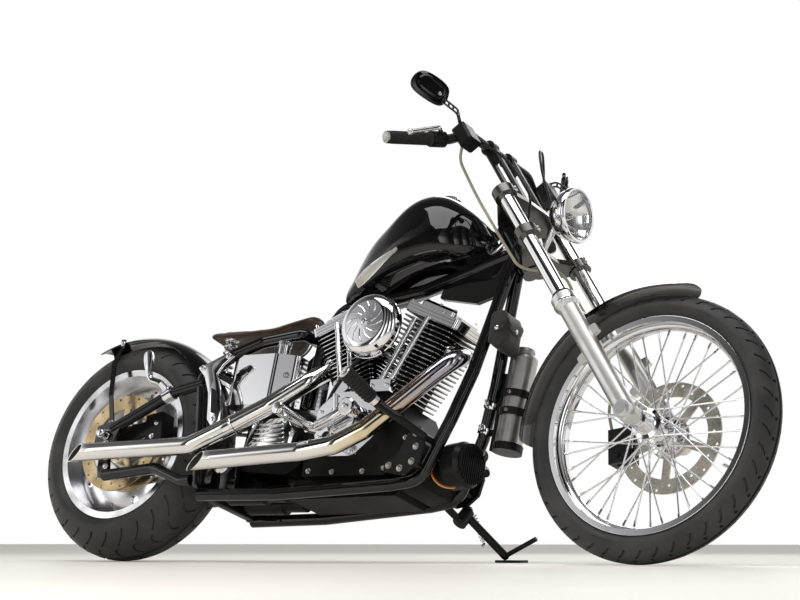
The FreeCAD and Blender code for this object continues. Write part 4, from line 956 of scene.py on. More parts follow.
@dataclass
class Studio:
    """Floor, backdrop light, lamps and the camera.

    Attributes:
        fill: Strength of the sky on dull surfaces.
        strip_shift: How far they are moved round, in strips.
        ceiling: Brightness at each height of the room, from level to straight up.
        hung: Name, place, aim, size, power and whether metal shows it, for each lamp.
        from_axle: Place of the camera from the rear axle, seen from above.
    """

    room: float = 30.0
    pale: Point = (0.90, 0.86, 0.80)
    fill: float = 0.46
    strips: float = 11.0
    strip_shift: float = -0.14
    strip_light: float = 2.2
    facing: Point = (0.62, -0.78, 0.0)
    ceiling: tuple = ((0.0, 1.0), (0.40, 1.0), (0.55, 0.22), (0.8, 0.06))
    hung: tuple = (
        ("overhead", (0.3, -0.6, 3.6), (0, 0, 0.4), (3.6, 1.6), 60.0, True),
        ("side_strip", (1.6, -3.8, 1.7), (0, 0, 0.5), (0.7, 2.4), 40.0, False),
        ("rear_strip", (-2.6, -3.0, 1.9), (-0.3, 0, 0.5), (0.6, 2.2), 30.0, False),
        ("back_light", (-0.6, 3.4, 2.4), (0, 0, 0.5), (3.0, 1.5), 30.0, True),
    )
    focal_px: float = 2068.1
    width_px: float = 800.0
    from_axle: Point = (4.1315, -4.5288)
    height: float = 0.0563
    heading: float = 35.236
    pitch: float = 6.662

    def floor(self) -> None:
        """Lay the plain floor."""
        mesh = bmesh.new()
        bmesh.ops.create_grid(mesh, x_segments=1, y_segments=1, size=self.room)
        data = bpy.data.meshes.new("floor")
        mesh.to_mesh(data)
        mesh.free()
        surface = Surface("floor_paint")
        patches = surface.noise(1.5, 6.0)
        surface.base(Base_Color=surface.tones(patches, (0.3, shade(self.pale, 0.96)), (0.7, self.pale)),
                     Roughness=0.45)
        data.materials.append(surface.material)
        floor = bpy.data.objects.new("floor", data)
        bpy.context.scene.collection.objects.link(floor)
        floor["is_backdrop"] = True

    def sky(self) -> None:
        """Light the room evenly, and show a pale room to the eye, to metal and to glass."""
        world = bpy.data.worlds.new("room")
        bpy.context.scene.world = world
        world.use_nodes = True
        tree = world.node_tree
        tree.nodes.clear()

        def node(kind: str, inputs: dict, **settings: object) -> bpy.types.Node:
            """Add a node to the world, set its properties and fill its inputs.

            Args:
                kind: Type of the node.
                inputs: Values and links by input.
                **settings: Its properties.

            Returns:
                The node.
            """
            made = tree.nodes.new(kind)
            for key, value in settings.items():
                setattr(made, key, value)
            for key, value in inputs.items():
                if isinstance(value, bpy.types.NodeSocket):
                    tree.links.new(value, made.inputs[key])
                else:
                    made.inputs[key].default_value = value
            return made

        way = node("ShaderNodeTexCoord", {}).outputs["Generated"]
        height = node("ShaderNodeSeparateXYZ", {"Vector": way}).outputs["Z"]
        ramp = node("ShaderNodeValToRGB", {"Fac": height})
        marks = ramp.color_ramp.elements
        while len(marks) < len(self.ceiling):
            marks.new(1.0)
        for mark, (place, tone) in zip(marks, self.ceiling):
            mark.position = place
            mark.color = (tone, tone, tone, 1)
        facing = node("ShaderNodeVectorMath", {0: way, 1: self.facing}, operation="DOT_PRODUCT")
        turn = node("ShaderNodeTexGradient", {"Vector": way}, gradient_type="RADIAL")
        count = node("ShaderNodeMath", {0: turn.outputs["Fac"], 1: self.strips, 2: self.strip_shift},
                     operation="MULTIPLY_ADD")
        share = node("ShaderNodeMath", {0: count.outputs[0]}, operation="FRACT")
        strip = node("ShaderNodeMapRange", {"Value": share.outputs[0], "From Min": 0.12, "From Max": 0.55,
                                            "To Min": self.strip_light, "To Max": 0.05})
        depth = node("ShaderNodeMapRange", {"Value": facing.outputs["Value"], "From Min": -0.2,
                                            "From Max": 0.2, "To Min": 1.0, "To Max": strip.outputs[0]})
        room = node("ShaderNodeVectorMath", {0: ramp.outputs[0], "Scale": depth.outputs[0]},
                    operation="SCALE")
        seen = node("ShaderNodeBackground", {"Color": room.outputs[0], "Strength": 1.0})
        even = node("ShaderNodeBackground", {"Color": (1.0, 0.99, 0.97, 1.0), "Strength": self.fill})
        path = node("ShaderNodeLightPath", {})
        rays = path.outputs["Is Camera Ray"]
        for name in ("Is Glossy Ray", "Is Transmission Ray"):
            rays = node("ShaderNodeMath", {0: rays, 1: path.outputs[name]}, operation="MAXIMUM").outputs[0]
        mix = node("ShaderNodeMixShader", {0: rays, 1: even.outputs[0], 2: seen.outputs[0]})
        node("ShaderNodeOutputWorld", {"Surface": mix.outputs[0]})

    def lamp(self, name: str, place: Point, aim: Point, size: tuple[float, float], power: float,
             mirrored: bool) -> None:
        """Hang one soft lamp.

        Args:
            name: Its name.
            place: Where it hangs, in metres.
            aim: What it points at.
            size: Its width and height.
            power: Its power in watts.
            mirrored: Whether bright metal shows it.
        """
        data = bpy.data.lights.new(name, "AREA")
        data.shape = "RECTANGLE"
        data.size, data.size_y = size
        data.energy = power
        lamp = bpy.data.objects.new(name, data)
        bpy.context.scene.collection.objects.link(lamp)
        lamp.location = place
        lamp.visible_glossy = mirrored
        lamp.rotation_euler = (Vector(aim) - Vector(place)).to_track_quat("-Z", "Y").to_euler()

    def camera(self, axle: Vector) -> None:
        """Place the camera as the photograph was taken, measured from the rear axle.

        Args:
            axle: Where the rear axle lies.
        """
        data = bpy.data.cameras.new("camera")
        data.sensor_width = 36.0
        data.lens = data.sensor_width * self.focal_px / self.width_px
        camera = bpy.data.objects.new("camera", data)
        bpy.context.scene.collection.objects.link(camera)
        camera.location = (axle.x + self.from_axle[0], axle.y + self.from_axle[1], self.height)
        camera.rotation_euler = (math.radians(90 + self.pitch), 0, math.radians(self.heading))
        bpy.context.scene.camera = camera

    def build(self, axle: Vector) -> None:
        """Make the whole studio.

        Args:
            axle: Middle of the rear wheel.
        """
        scene = bpy.context.scene
        scene.view_settings.view_transform = "Standard"
        self.floor()
        self.sky()
        for lamp in self.hung:
            self.lamp(*lamp)
        self.camera(axle)
        LOG.info("made the studio")


@dataclass
class Section:
    """A section of the motorcycle.

    Attributes:
        axes: Where the bodies lie.
        finishes: The looks of all pieces.
    """

    axes: Axes
    finishes: Finishes


@dataclass
class Tyre:
    """A tyre with its tread cut in, on the same section as its solid.

    Attributes:
        crown: Radius of the crown's own curve.
        lip: Radius of the rim's lip.
        wave: How far the tread lines sway round the tyre, in pitches.
        bands: Ranges of distance from the middle where cross grooves are cut.
        reach: Share of a quarter turn that those rows are spaced over.
        fine: How many grooves that run round would fill half the width.
        worn: Share of the crown's radius that the tread reaches down the side.
    """

    name: str
    node: str
    radius: float
    crown: float
    half: float
    bead: float
    lip: float
    inner: float
    pitches: int
    columns: int
    cut: float
    wave: float
    bands: tuple
    rings: tuple
    walls: int = 7
    rows: int = 28
    reach: float = 0.98
    fine: float = 26.0
    worn: float = 0.75

    def outline(self) -> list[tuple[float, float]]:
        """The section as (across, radius) points from bead to bead.

        Returns:
            Its points.
        """
        base = self.radius - self.crown
        shoulder = base + math.sqrt(self.crown ** 2 - self.half ** 2)
        wall = (shoulder + self.lip) / 2
        side = [(self.inner, self.bead), (self.inner, self.lip + 1)]
        for step in range(1, self.walls):
            share = step / self.walls
            bulge = (self.half - 3) * (1 - share) * share * 4
            across = self.inner * (1 - share) * (1 - 2 * share) + bulge + self.half * share * (2 * share - 1)
            rise = (self.lip + 1) * (1 - share) * (1 - 2 * share) + wall * (1 - share) * share * 4
            side.append((across, rise + shoulder * share * (2 * share - 1)))
        top = []
        quarter = math.pi / 2
        for step in range(self.rows + 1):
            turn = quarter * (1 - 2 * step / self.rows) * self.reach
            across = self.half * math.sin(turn) / math.sin(quarter * self.reach)
            top.append((across, base + math.sqrt(self.crown ** 2 - across ** 2)))
        return side + top + [(-across, radius) for across, radius in reversed(side)]

    def sway(self, across: float) -> float:
        """The angle that a tread line is turned by at a distance from the middle."""
        return self.wave * (math.tau / self.pitches) * math.sin(abs(across) / self.half * math.pi * 1.5)

    def grooved(self, face: bmesh.types.BMFace) -> bool:
        """Whether a face is the bottom of a groove.

        Args:
            face: A face of the plain tyre.

        Returns:
            True for a face that is pressed in.
        """
        middle = face.calc_center_median()
        reach = abs(middle.y)
        if middle.xz.length < self.radius - self.crown * self.worn:
            return False
        phase = ((math.atan2(middle.x, middle.z) - self.sway(reach)) / (math.tau / self.pitches)) % 1.0
        shift = 0.5 if middle.y > 0 else 0.0
        if any(low < reach < high for low, high in self.bands) and (phase + shift) % 1.0 < 1.0 / self.columns:
            return True
        return any(abs(reach - ring) < self.half / self.fine for ring in self.rings)

    def build(self, place: Place, finishes: Finishes) -> None:
        """Spin the section, sway its lines and press the tread in.

        Args:
            place: The wheel that carries it.
            finishes: The machine's finishes.
        """
        shape = Shape(self.name)
        shape.turned((0, 0, 0), LEFT, self.outline(), self.pitches * self.columns)
        for vert in shape.mesh.verts:
            vert.co = Quaternion(LEFT, self.sway(vert.co.y)) @ vert.co
        grooves = [face for face in shape.mesh.faces if self.grooved(face)]
        bmesh.ops.inset_region(shape.mesh, faces=grooves, thickness=0.5, depth=-self.cut,
                               use_even_offset=True)
        shape.finish(place, finishes.tyre, 30.0, (self.node,))


@dataclass
class RearWheel(Section):
    """Rear tyre, the disc's bolts, the valve and the pulley's bolts."""

    rotor_y: float = -88.0
    pulley_y: float = 117.0
    bolts: int = 5
    bolt_circle: float = 46.0
    valve: tuple = ((20, -60, -206), (22, -86, -192), (22.6, -94, -187))

    def build(self) -> None:
        """Make and dress the wheel's pieces."""
        Tyre("rear_tyre_tread", "rear_tyre", radius=325.0, crown=105.0, half=98.0, bead=215.0, lip=227.0,
             inner=80.3, pitches=30, columns=8, cut=4.0, wave=0.5, bands=((16, 52), (58, 90)),
             rings=(8.0,)).build(self.axes.on_rear_wheel, self.finishes)
        small = Shape("rear_wheel_bolts")
        for x, z in circle(self.bolts, self.bolt_circle, 36):
            small.bolt((x, self.rotor_y - 2.5, z), RIGHT, 7.0, 6.0, 24)
            small.bolt((x, self.pulley_y + 4.0, z), LEFT, 7.5, 6.0)
        foot, neck, tip = self.valve
        small.rod(foot, neck, 4.0, sides=12)
        small.rod(neck, tip, 4.6, sides=12, bevel=0.6)
        small.finish(self.axes.on_rear_wheel, self.finishes.bolts)


@dataclass
class FrontWheel(Section):
    """Front tyre, spoke nipples, valve, disc bolts, and thin dark discs on the hub that are painted shade
    standing for its drilled holes.

    Attributes:
        lead: How far round a spoke leans, in degrees.
        root: Radius where the spokes leave the hub.
        tip: Radius where they meet the rim.
    """

    spokes: int = 40
    lead: float = 62.0
    root: float = 35.0
    tip: float = 254.7
    flange: float = 34.0
    rotor_y: float = 83.0
    bolts: int = 5
    bolt_circle: float = 44.0
    drillings: int = 20
    drilled: float = 33.0
    valve: tuple = ((120, 0, -226), (112, -2, -212), (107, -3, -203))

    def ends(self, index: int) -> tuple[Vector, Vector]:
        """Both ends of a spoke.

        Args:
            index: Which spoke.

        Returns:
            Its hub end and its rim end.
        """
        side = 1 if index % 2 else -1
        lead = self.lead if index % 4 < 2 else -self.lead
        outer = math.radians(360 / self.spokes * (index + 0.5))
        inner = outer - math.radians(lead)
        return (Vector((self.root * math.sin(inner), side * self.flange, self.root * math.cos(inner))),
                Vector((self.tip * math.sin(outer), side * 6, self.tip * math.cos(outer))))

    def build(self) -> None:
        """Make and dress the wheel's pieces."""
        Tyre("front_tyre_tread", "front_tyre", radius=345.0, crown=46.0, half=45.0, bead=272.0, lip=283.5,
             inner=32.1, pitches=44, columns=6, cut=4.5, wave=0.32, bands=((8, 20), (23, 40)),
             rings=(4.0,)).build(self.axes.on_front_wheel, self.finishes)
        nipples = Shape("spoke_nipples")
        for index in range(self.spokes):
            start, end = self.ends(index)
            way = (end - start).normalized()
            nipples.rod(end - way * 17, end - way * 2, 3.1, 3.5, 8)
            nipples.rod(start - way * 1, start + way * 7, 3.4, 2.5, 10)
        nipples.finish(self.axes.on_front_wheel, self.finishes.chrome)
        small = Shape("front_wheel_bolts")
        for x, z in circle(self.bolts, self.bolt_circle, 36):
            small.bolt((x, self.rotor_y + 2.5, z), LEFT, 6.5, 6.0, 24)
        foot, neck, tip = self.valve
        small.rod(foot, neck, 4.0, sides=12)
        small.rod(neck, tip, 4.8, 4.0, 12, 0.6)
        small.finish(self.axes.on_front_wheel, self.finishes.bolts)
        # Thin dark discs on both hub flanges, in the soot finish: painted shade standing for the drilled
        # holes, not soot.
        holes = Shape("hub_drillings")
        for side in (1, -1):
            for x, z in circle(self.drillings, self.drilled):
                spot = Vector((x, side * (self.flange + 3.2), z))
                holes.rod(spot - Vector((0, side * 0.6, 0)), spot + Vector((0, side * 0.1, 0)), 3.0, sides=12)
        holes.finish(self.axes.on_front_wheel, self.finishes.soot_and_shade)


@dataclass
class Fork(Section):
    """Seals, bright rings and caps of the fork's legs, and its bolts.

    Attributes:
        foot_bolts: A leg's bolts at the axle as (place, way, radius, height, sides), from the leg's middle.
    """

    half: float = 128.7
    offset: float = 80.0
    leg_top: float = 396.0
    cap_foot: float = 778.0
    stem_top: float = 809.0
    clamps: tuple = (628.0, 782.0)
    seal: Outline = ((0.2, 20.8), (0.2, 26.5), (3, 27), (7, 25), (10, 20.7))
    ring: Outline = ((0, 33.1), (2, 34.2), (6, 34.2), (8, 33.1))
    cap: Outline = ((-2, 0), (-2, 17), (16, 17), (19, 14), (19, 9), (13, 8), (13, 0))
    foot_bolts: tuple = (((0, 30, 12), (0, 1, 0), 5.0, 4.0, 6), ((-20, 0, 8), (-1, 0, 0), 4.5, 8.0, 20),
                         ((24, -18, 14), (1, 0, 0.1), 5.0, 9.0, 20))

    def build(self) -> None:
        """Make and dress the fork's small pieces."""
        seals = Shape("fork_seals")
        bright = Shape("fork_caps")
        bolts = Shape("fork_bolts")
        for side in (1, -1):
            leg = Vector((self.offset, side * self.half, 0))
            seals.turned(leg + Vector((0, 0, self.leg_top)), UP, self.seal)
            bright.turned(leg + Vector((0, 0, self.leg_top - 32)), UP, self.ring)
            bright.turned(leg + Vector((0, 0, self.cap_foot)), UP, self.cap)
            for spot, way, radius, height, sides in self.foot_bolts:
                bolts.bolt(leg + sided(spot, side), sided(way, side), radius, height, sides)
            for z in self.clamps:
                for rise in (-6, 6):
                    bolts.bolt(leg + Vector((28, -side * 12, z + rise)), (0.9, -side * 0.4, 0), 4.2, 6.0, 20)
        bolts.bolt((0, 0, self.stem_top), UP, 12.0, 7.0)
        seals.finish(self.axes.on_fork, self.finishes.rubber)
        bright.finish(self.axes.on_fork, self.finishes.chrome)
        bolts.finish(self.axes.on_fork, self.finishes.bolts)


@dataclass
class FrontBrake(Section):
    """Pistons' caps and pins of the front caliper."""

    angle: float = -62.0
    reach: float = 136.0
    pistons: tuple = (-25, 25)
    outer: float = 111.0
    inner: float = 62.8

    def build(self) -> None:
        """Make and dress the caliper's small pieces."""
        caps = Shape("caliper_caps")
        angle = math.radians(self.angle)
        middle = Vector((self.reach * math.sin(angle), 0, self.reach * math.cos(angle)))
        along = Vector((math.cos(angle), 0, -math.sin(angle)))
        for step in self.pistons:
            spot = middle + along * step
            caps.rod((spot.x, self.outer, spot.z), (spot.x, self.outer + 3.5, spot.z), 17.0, 16.0, 32, 1.0)
            caps.bolt((spot.x * 1.02, self.inner, spot.z * 1.02), RIGHT, 6.0, 5.0, 20)
        caps.finish(self.axes.on_caliper, self.finishes.satin_black)


@dataclass
class Bars(Section):
    """Ribs and caps of the grips, switches and bolts of the bar.

    Attributes:
        buttons: Place along the bar and radius of the buttons on a block.
    """

    grip_inner: Point = (20.0, 275.0, 973.0)
    grip_outer: Point = (-39.0, 400.0, 961.0)
    ribs: int = 22
    rib_pitch: float = 5.4
    rib: Outline = ((0, 16.9), (0.8, 17.7), (2.6, 17.7), (3.4, 16.9))
    cap: Outline = ((-6, 15.4), (1.0, 15.4), (2.4, 13.0), (2.4, 0.0))
    upright: Point = (0.3, 0, 1)
    buttons: tuple = ((-30, 5.0), (-14, 4.2))
    clamp_back: float = 22.0
    riser_bolt: Point = (82.0, 45, 1031.5)
    screws: tuple = ((76, 186, 986), (102, 186, 986), (76, 226, 986), (102, 226, 986))

    def build(self) -> None:
        """Make and dress the bar's small pieces."""
        ribs = Shape("grip_ribs")
        switches = Shape("bar_switches")
        bolts = Shape("bar_bolts")
        caps = Shape("grip_caps")
        up = Vector(self.upright).normalized()
        for side in (1, -1):
            inner, outer = sided(self.grip_inner, side), sided(self.grip_outer, side)
            way = (outer - inner).normalized()
            for step in range(self.ribs):
                ribs.turned(inner + way * (12 + step * self.rib_pitch), way, self.rib, 32)
            caps.turned(outer + way * 7, way, self.cap, 32)
            front = way.cross(up) * side
            for place, size in self.buttons:
                spot = inner + way * place + up * 21.6
                switches.rod(spot, spot + up * 4, size, size * 0.85, 20, 0.6)
            clamp = inner - way * self.clamp_back
            switches.rod(clamp - front * 21, clamp - front * 25, 5.5, sides=20, bevel=0.8)
            ahead = (Vector(AHEAD) - way * way.x).normalized()
            bolts.bolt(clamp + ahead * 28 + Vector((0, 0, 9)), UP, 5.0, 4.0, 20)
            bolts.bolt(sided(self.riser_bolt, side), UP, 5.0, 4.0, 20)
            for spot in self.screws:
                bolts.bolt(sided(spot, side), UP, 2.8, 2.2, 16)
        ribs.finish(self.axes.on_fork, self.finishes.rubber)
        switches.finish(self.axes.on_fork, self.finishes.satin_black)
        caps.finish(self.axes.on_fork, self.finishes.steel)
        bolts.finish(self.axes.on_fork, self.finishes.bolts)


@dataclass
class Headlamp(Section):
    """Reflector, bulb, rim and screw of the headlamp."""

    front: Point = (191.0, 0.0, 669.0)
    rake: float = 36.2
    bowl_steps: int = 12
    socket: Outline = ((0, 8), (14, 8), (16, 6))
    bulb: Outline = ((0, 7), (16, 9.5), (24, 8), (29, 4), (30, 0))
    rim: Outline = ((-14, 72.8), (-14, 74.6), (-9, 75.4), (-3, 75.0), (1.2, 73.0), (1.6, 69.5), (0.3, 66.5))

    def build(self) -> None:
        """Make and dress the lamp's pieces."""
        tilt = math.radians(self.rake)
        ahead = Vector((math.cos(tilt), 0, -math.sin(tilt)))
        front = Vector(self.front)
        bowl = Shape("lamp_reflector")
        shares = [step / self.bowl_steps for step in range(self.bowl_steps + 1)]
        bowl.turned(front, ahead, [(-54 + 42 * (share ** 2), 8 + 57 * share) for share in shares], 64)
        bowl.turned(front - ahead * 50, ahead, self.socket, 24)
        bowl.finish(self.axes.on_fork, self.finishes.chrome)
        bulb = Shape("lamp_bulb")
        bulb.turned(front - ahead * 44, ahead, self.bulb, 24)
        bulb.finish(self.axes.on_fork, self.finishes.disc)
        ring = Shape("lamp_rim")
        ring.turned(front, ahead, self.rim, 72)
        ring.bolt(front - ahead * 9 + Vector((0, 0, -74.5)), (0, 0, -1), 3.5, 5.0, 16)
        ring.finish(self.axes.on_fork, self.finishes.chrome)


@dataclass
class FrontFender(Section):
    """Bolts that hold the front fender."""

    bolts: tuple = ((-8, 84, 357.2), (8, 84, 357.2))

    def build(self) -> None:
        """Make and dress the fender's bolts."""
        shape = Shape("fender_bolts")
        for side in (1, -1):
            for spot in self.bolts:
                shape.bolt(sided(spot, side), UP, 5.0, 4.0, 20)
        shape.finish(self.axes.on_caliper, self.finishes.bolts)


CRANK: Point = (865.0, 0.0, 300.0)
HALF_ANGLE = 22.5


@dataclass
class Cylinders(Section):
    """Bright fin edges, head bolts and rocker box screws of both cylinders.

    Attributes:
        low_fin: Half lengths of the lowest fin along and across the machine.
        growth: How much these grow up to the top.
    """

    foot: float = 150.0
    top: float = 384.0
    pitch: float = 13.0
    thick: float = 3.2
    corner: float = 18.0
    low_fin: tuple = (62.15, 68.15)
    growth: tuple = (34, 6)
    cover: tuple = (100.1, 75.1)
    seams: tuple = (9.0, 18.0)
    lower_screws: tuple = ((-88, -64), (-30, -68), (30, -68), (88, -64), (-88, 64), (88, 64))
    upper_screws: tuple = ((-52, -50), (52, -50), (-52, 50), (52, 50), (0, -54), (0, 54))

    def band(self, shape: Shape, half: tuple[float, float], low: float, high: float, matrix: Matrix) -> None:
        """Add a thin open band round a fin's rounded edge.

        Args:
            shape: The shape to add to.
            half: Half the fin's lengths.
            low: Height of the band's foot.
            high: Height of its top.
            matrix: The cylinder's frame.
        """
        loop = []
        for across, along, start in ((1, 1, 0), (-1, 1, 90), (-1, -1, 180), (1, -1, 270)):
            for step in range(5):
                angle = math.radians(start + 22.5 * step)
                loop.append((across * (half[0] - self.corner) + self.corner * math.cos(angle),
                             along * (half[1] - self.corner) + self.corner * math.sin(angle)))
        verts = [shape.mesh.verts.new(matrix @ Vector((x, y, low))) for x, y in loop]
        edges = [shape.mesh.edges.new((a, b)) for a, b in zip(verts, verts[1:] + verts[:1])]
        made = bmesh.ops.extrude_edge_only(shape.mesh, edges=edges)["geom"]
        raised = [item for item in made if isinstance(item, bmesh.types.BMVert)]
        rise = matrix.to_3x3() @ Vector((0, 0, high - low))
        bmesh.ops.translate(shape.mesh, verts=raised, vec=rise)
        faces = [item for item in made if isinstance(item, bmesh.types.BMFace)]
        bmesh.ops.recalc_face_normals(shape.mesh, faces=faces)

    def build(self) -> None:
        """Make and dress the cylinders' pieces."""
        edges = Shape("fin_edges")
        screws = Shape("rocker_screws")
        seams = Shape("rocker_seams")
        for side in (1, -1):
            matrix = Matrix.Translation(CRANK) @ Matrix.Rotation(math.radians(HALF_ANGLE * side), 4, "Y")
            up = matrix.to_3x3() @ Vector(UP)
            for index in range(int((self.top - self.foot) / self.pitch)):
                height = self.top - self.thick - self.pitch * index
                share = (height - self.foot) / (self.top - self.foot)
                half = [low + grow * share for low, grow in zip(self.low_fin, self.growth)]
                self.band(edges, half, height + 0.4, height + self.thick - 0.4, matrix)
            for x, y in self.lower_screws:
                screws.bolt(matrix @ Vector((x, y, self.top + 26.4)), up, 5.0, 5.0, 20)
            for x, y in self.upper_screws:
                screws.bolt(matrix @ Vector((x, y, self.top + 48.4)), up, 3.4, 2.6, 20)
            for height in self.seams:
                self.band(seams, self.cover, self.top + height, self.top + height + 1.0, matrix)
        edges.finish(self.axes.on_frame, self.finishes.alloy)
        screws.finish(self.axes.on_frame, self.finishes.bolts)
        seams.finish(self.axes.on_frame, self.finishes.soot_and_shade)


@dataclass
class Pushrods(Section):
    """Collars, clips and keepers of the pushrod tubes.

    Attributes:
        collars: Place along a tube, radius and height of each collar.
    """

    foot: Point = (62, -112, 150)
    head: float = 381.0
    head_y: float = -86.0
    offsets: tuple = (-16, 16)
    collars: tuple = ((0.10, 10.2, 7), (0.16, 9.0, 10), (0.52, 9.6, 5), (0.56, 8.6, 14), (0.90, 9.8, 7))
    screws: tuple = ((-24, -14, -3), (24, -14, -3))

    def build(self) -> None:
        """Make and dress the tubes' pieces."""
        angle = math.radians(HALF_ANGLE)
        shape = Shape("pushrod_collars")
        for side in (1, -1):
            up = Vector((math.sin(angle) * side, 0, math.cos(angle)))
            base = Vector(CRANK) + Vector((side * self.foot[0], self.foot[1], self.foot[2]))
            for offset in self.offsets:
                foot = base + Vector((offset, 0, 0))
                head = Vector(CRANK) + up * self.head + Vector((offset * 1.3 - side * 14, self.head_y, 0))
                for share, radius, height in self.collars:
                    outline = ((0, 7.4), (0, radius), (height, radius), (height, 7.4))
                    shape.turned(foot.lerp(head, share), head - foot, outline, 28)
            for screw in self.screws:
                shape.bolt(base + Vector(screw), RIGHT, 5.0, 5.0, 20)
        shape.finish(self.axes.on_frame, self.finishes.chrome)


@dataclass
class EngineCovers(Section):
    """Screws and raised faces of the cam cover, gearbox, engine case and primary cover.

    Attributes:
        screws: Screws of a cover as (y, way, height of a head, places as (x, z)).
    """

    screws: tuple = (
        (-142, RIGHT, 5.5, ((770, 300), (806, 258), (884, 258), (938, 306), (946, 372), (896, 414),
                            (806, 414), (762, 372))),
        (-128, RIGHT, 5.5, ((518, 274), (586, 274), (656, 276), (668, 318), (632, 358), (536, 356))),
        (188, LEFT, 5.0, ((606, 262), (680, 236), (800, 226), (926, 220), (972, 256), (972, 354), (926, 398),
                          (800, 396), (684, 388), (612, 346))),
    )
    cam_disc: Point = (844, -154, 346)
    cam_face: Outline = ((0, 44), (2.5, 44), (4, 42), (4, 30), (1.5, 28), (1.5, 0))
    cam_screws: int = 5
    primary_faces: tuple = (((745, 188, 308), ((0, 66), (3, 66), (5, 63), (5, 10), (4, 8), (4, 0)), 72),
                            ((905, 188, 306), ((0, 26), (3, 26), (4, 24), (4, 0)), 40))
    case_bolts: tuple = ((720, 220), (800, 216), (900, 216), (968, 224), (1016, 262), (1022, 306))
    sump_bolts: tuple = ((660, 176), (720, 176), (900, 176), (980, 176))

    def build(self) -> None:
        """Make and dress the covers' pieces."""
        screws = Shape("cover_screws")
        for y, way, height, places in self.screws:
            for x, z in places:
                screws.bolt((x, y, z), way, 5.0, height, 20)
        screws.finish(self.axes.on_frame, self.finishes.chrome)
        raised = Shape("cover_faces")
        raised.turned(self.cam_disc, RIGHT, self.cam_face, 64)
        for x, z in circle(self.cam_screws, 36):
            raised.bolt(Vector(self.cam_disc) + Vector((x, -4, z)), RIGHT, 2.6, 1.6, 16)
        for middle, outline, steps in self.primary_faces:
            raised.turned(middle, LEFT, outline, steps)
        raised.finish(self.axes.on_frame, self.finishes.chrome)
        bolts = Shape("case_bolts")
        for x, z in self.case_bolts:
            bolts.bolt((x, -100, z), RIGHT, 6.0, 6.0)
        for x, z in self.sump_bolts:
            bolts.bolt((x, -70, z), RIGHT, 5.0, 5.0)
        bolts.finish(self.axes.on_frame, self.finishes.bolts)


@dataclass
class AirCleaner(Section):
    """Blank dome of the air cleaner with its raised ring, swirl and centre bolt."""

    centre: Point = (908.0, -160.3, 594.0)
    rings: tuple = (((8, 88.1), (10, 90.0), (16, 90.0), (18, 88.1)),
                    ((48.2, 74.0), (50.2, 73.2), (51.2, 70.5), (50.6, 68.6)))
    depth: float = 57.0
    ribs: int = 12
    rib: tuple = ((22, 0), (33, 7), (44, 18), (49, 31))

    def build(self) -> None:
        """Make and dress the cleaner's pieces."""
        shape = Shape("cleaner_ring")
        centre = Vector(self.centre)
        for outline in self.rings:
            shape.turned(centre, RIGHT, outline, 80)
        shape.bolt(centre + Vector((0, -self.depth, 0)), RIGHT, 9.0, 4.5, 24)
        for index in range(self.ribs):
            turn = Matrix.Rotation(math.radians(360 / self.ribs * index), 3, "Y")
            points = [turn @ Vector((x, 0, z)) for x, z in self.rib]
            shape.swept([centre + point + Vector((0, -self.depth + 1.5 * (point.length / 60), 0))
                         for point in points], 1.6, 8)
        shape.finish(self.axes.on_frame, self.finishes.chrome)


@dataclass
class Carburettor(Section):
    """Lid, float bowl and clamps of the carburettor."""

    turnings: tuple = (((865, -122, 608), UP, ((0, 25), (4, 27), (10, 27), (12, 24), (20, 22), (22, 0))),
                       ((865, -122, 548), DOWN, ((-2, 27), (2, 27), (8, 22), (9, 8), (13, 7), (13, 0))))
    clamps: tuple = (-60, -92, -150)
    clamp: Outline = ((0, 24.2), (1, 26.5), (7, 26.5), (8, 24.2))

    def build(self) -> None:
        """Make and dress the carburettor's pieces."""
        shape = Shape("carburettor_caps")
        for base, way, outline in self.turnings:
            shape.turned(base, way, outline, 40)
        for y in self.clamps:
            shape.turned((865, y, 590), RIGHT, self.clamp, 40)
        shape.finish(self.axes.on_frame, self.finishes.alloy)


@dataclass
class Exhausts(Section):
    """Slanted ends and dark insides of the pipes, their flange rings and clamps.

    Attributes:
        sleeve: Length of pipe that is made anew at each end.
        ends: End of each pipe, and the point before it.
    """

    mouth: Point = (-0.48, -0.85, 0.22)
    sleeve: float = 70.0
    radius: float = 25.4
    wall: float = 2.0
    ends: tuple = (((440, -242, 207), (793, -240, 226)), ((-56, -206, 256), (369, -200, 268)))
    rings: tuple = (
        ((1072, -26, 562), (54, -18, -14), ((2, 25.6), (2, 31), (10, 33), (14, 31), (14, 25.6))),
        ((690, -40, 540), (-22, -64, -62), ((2, 25.6), (2, 31), (10, 33), (14, 31), (14, 25.6))),
        ((470, -184, 320), (-101, -16, -52), ((-30, 25.6), (-29, 26.6), (-24, 26.6), (-23, 25.6))),
    )

    def build(self) -> None:
        """Make and dress the pipes' pieces."""
        soot_and_shade = Shape("pipe_insides")
        tips = Shape("pipe_ends")
        pipes = Shape("pipe_bodies")
        pipes.taken(bpy.data.objects["exhaust_pipes"], self.axes.bike)
        mouth = Vector(self.mouth).normalized()
        bore = self.radius - self.wall
        reach = self.sleeve + 70
        wall = ((-2, self.radius), (reach, self.radius), (reach, bore), (-2, bore))
        for end, before in self.ends:
            way = (Vector(before) - Vector(end)).normalized()
            start = Vector(end) + way * self.sleeve
            pipes.cut(pipes.island(start), start, -way)
            tips.turned(start, -way, wall, 48)
            tips.cut(tips.island(start), end, mouth, True)
            soot_and_shade.turned(start + way * 80, -way, ((0, 0), (1, bore - 0.3), (reach + 80, bore - 0.3)), 48)
            soot_and_shade.cut(soot_and_shade.island(start), Vector(end) + way * 1.5, mouth)
        rings = Shape("pipe_rings")
        for spot, way, outline in self.rings:
            rings.turned(spot, way, outline, 40)
        pipes.finish(self.axes.on_frame, self.finishes.pipe, replaces=("exhaust_pipes",))
        tips.finish(self.axes.on_frame, self.finishes.pipe)
        soot_and_shade.finish(self.axes.on_frame, self.finishes.soot_and_shade)
        rings.finish(self.axes.on_frame, self.finishes.chrome)


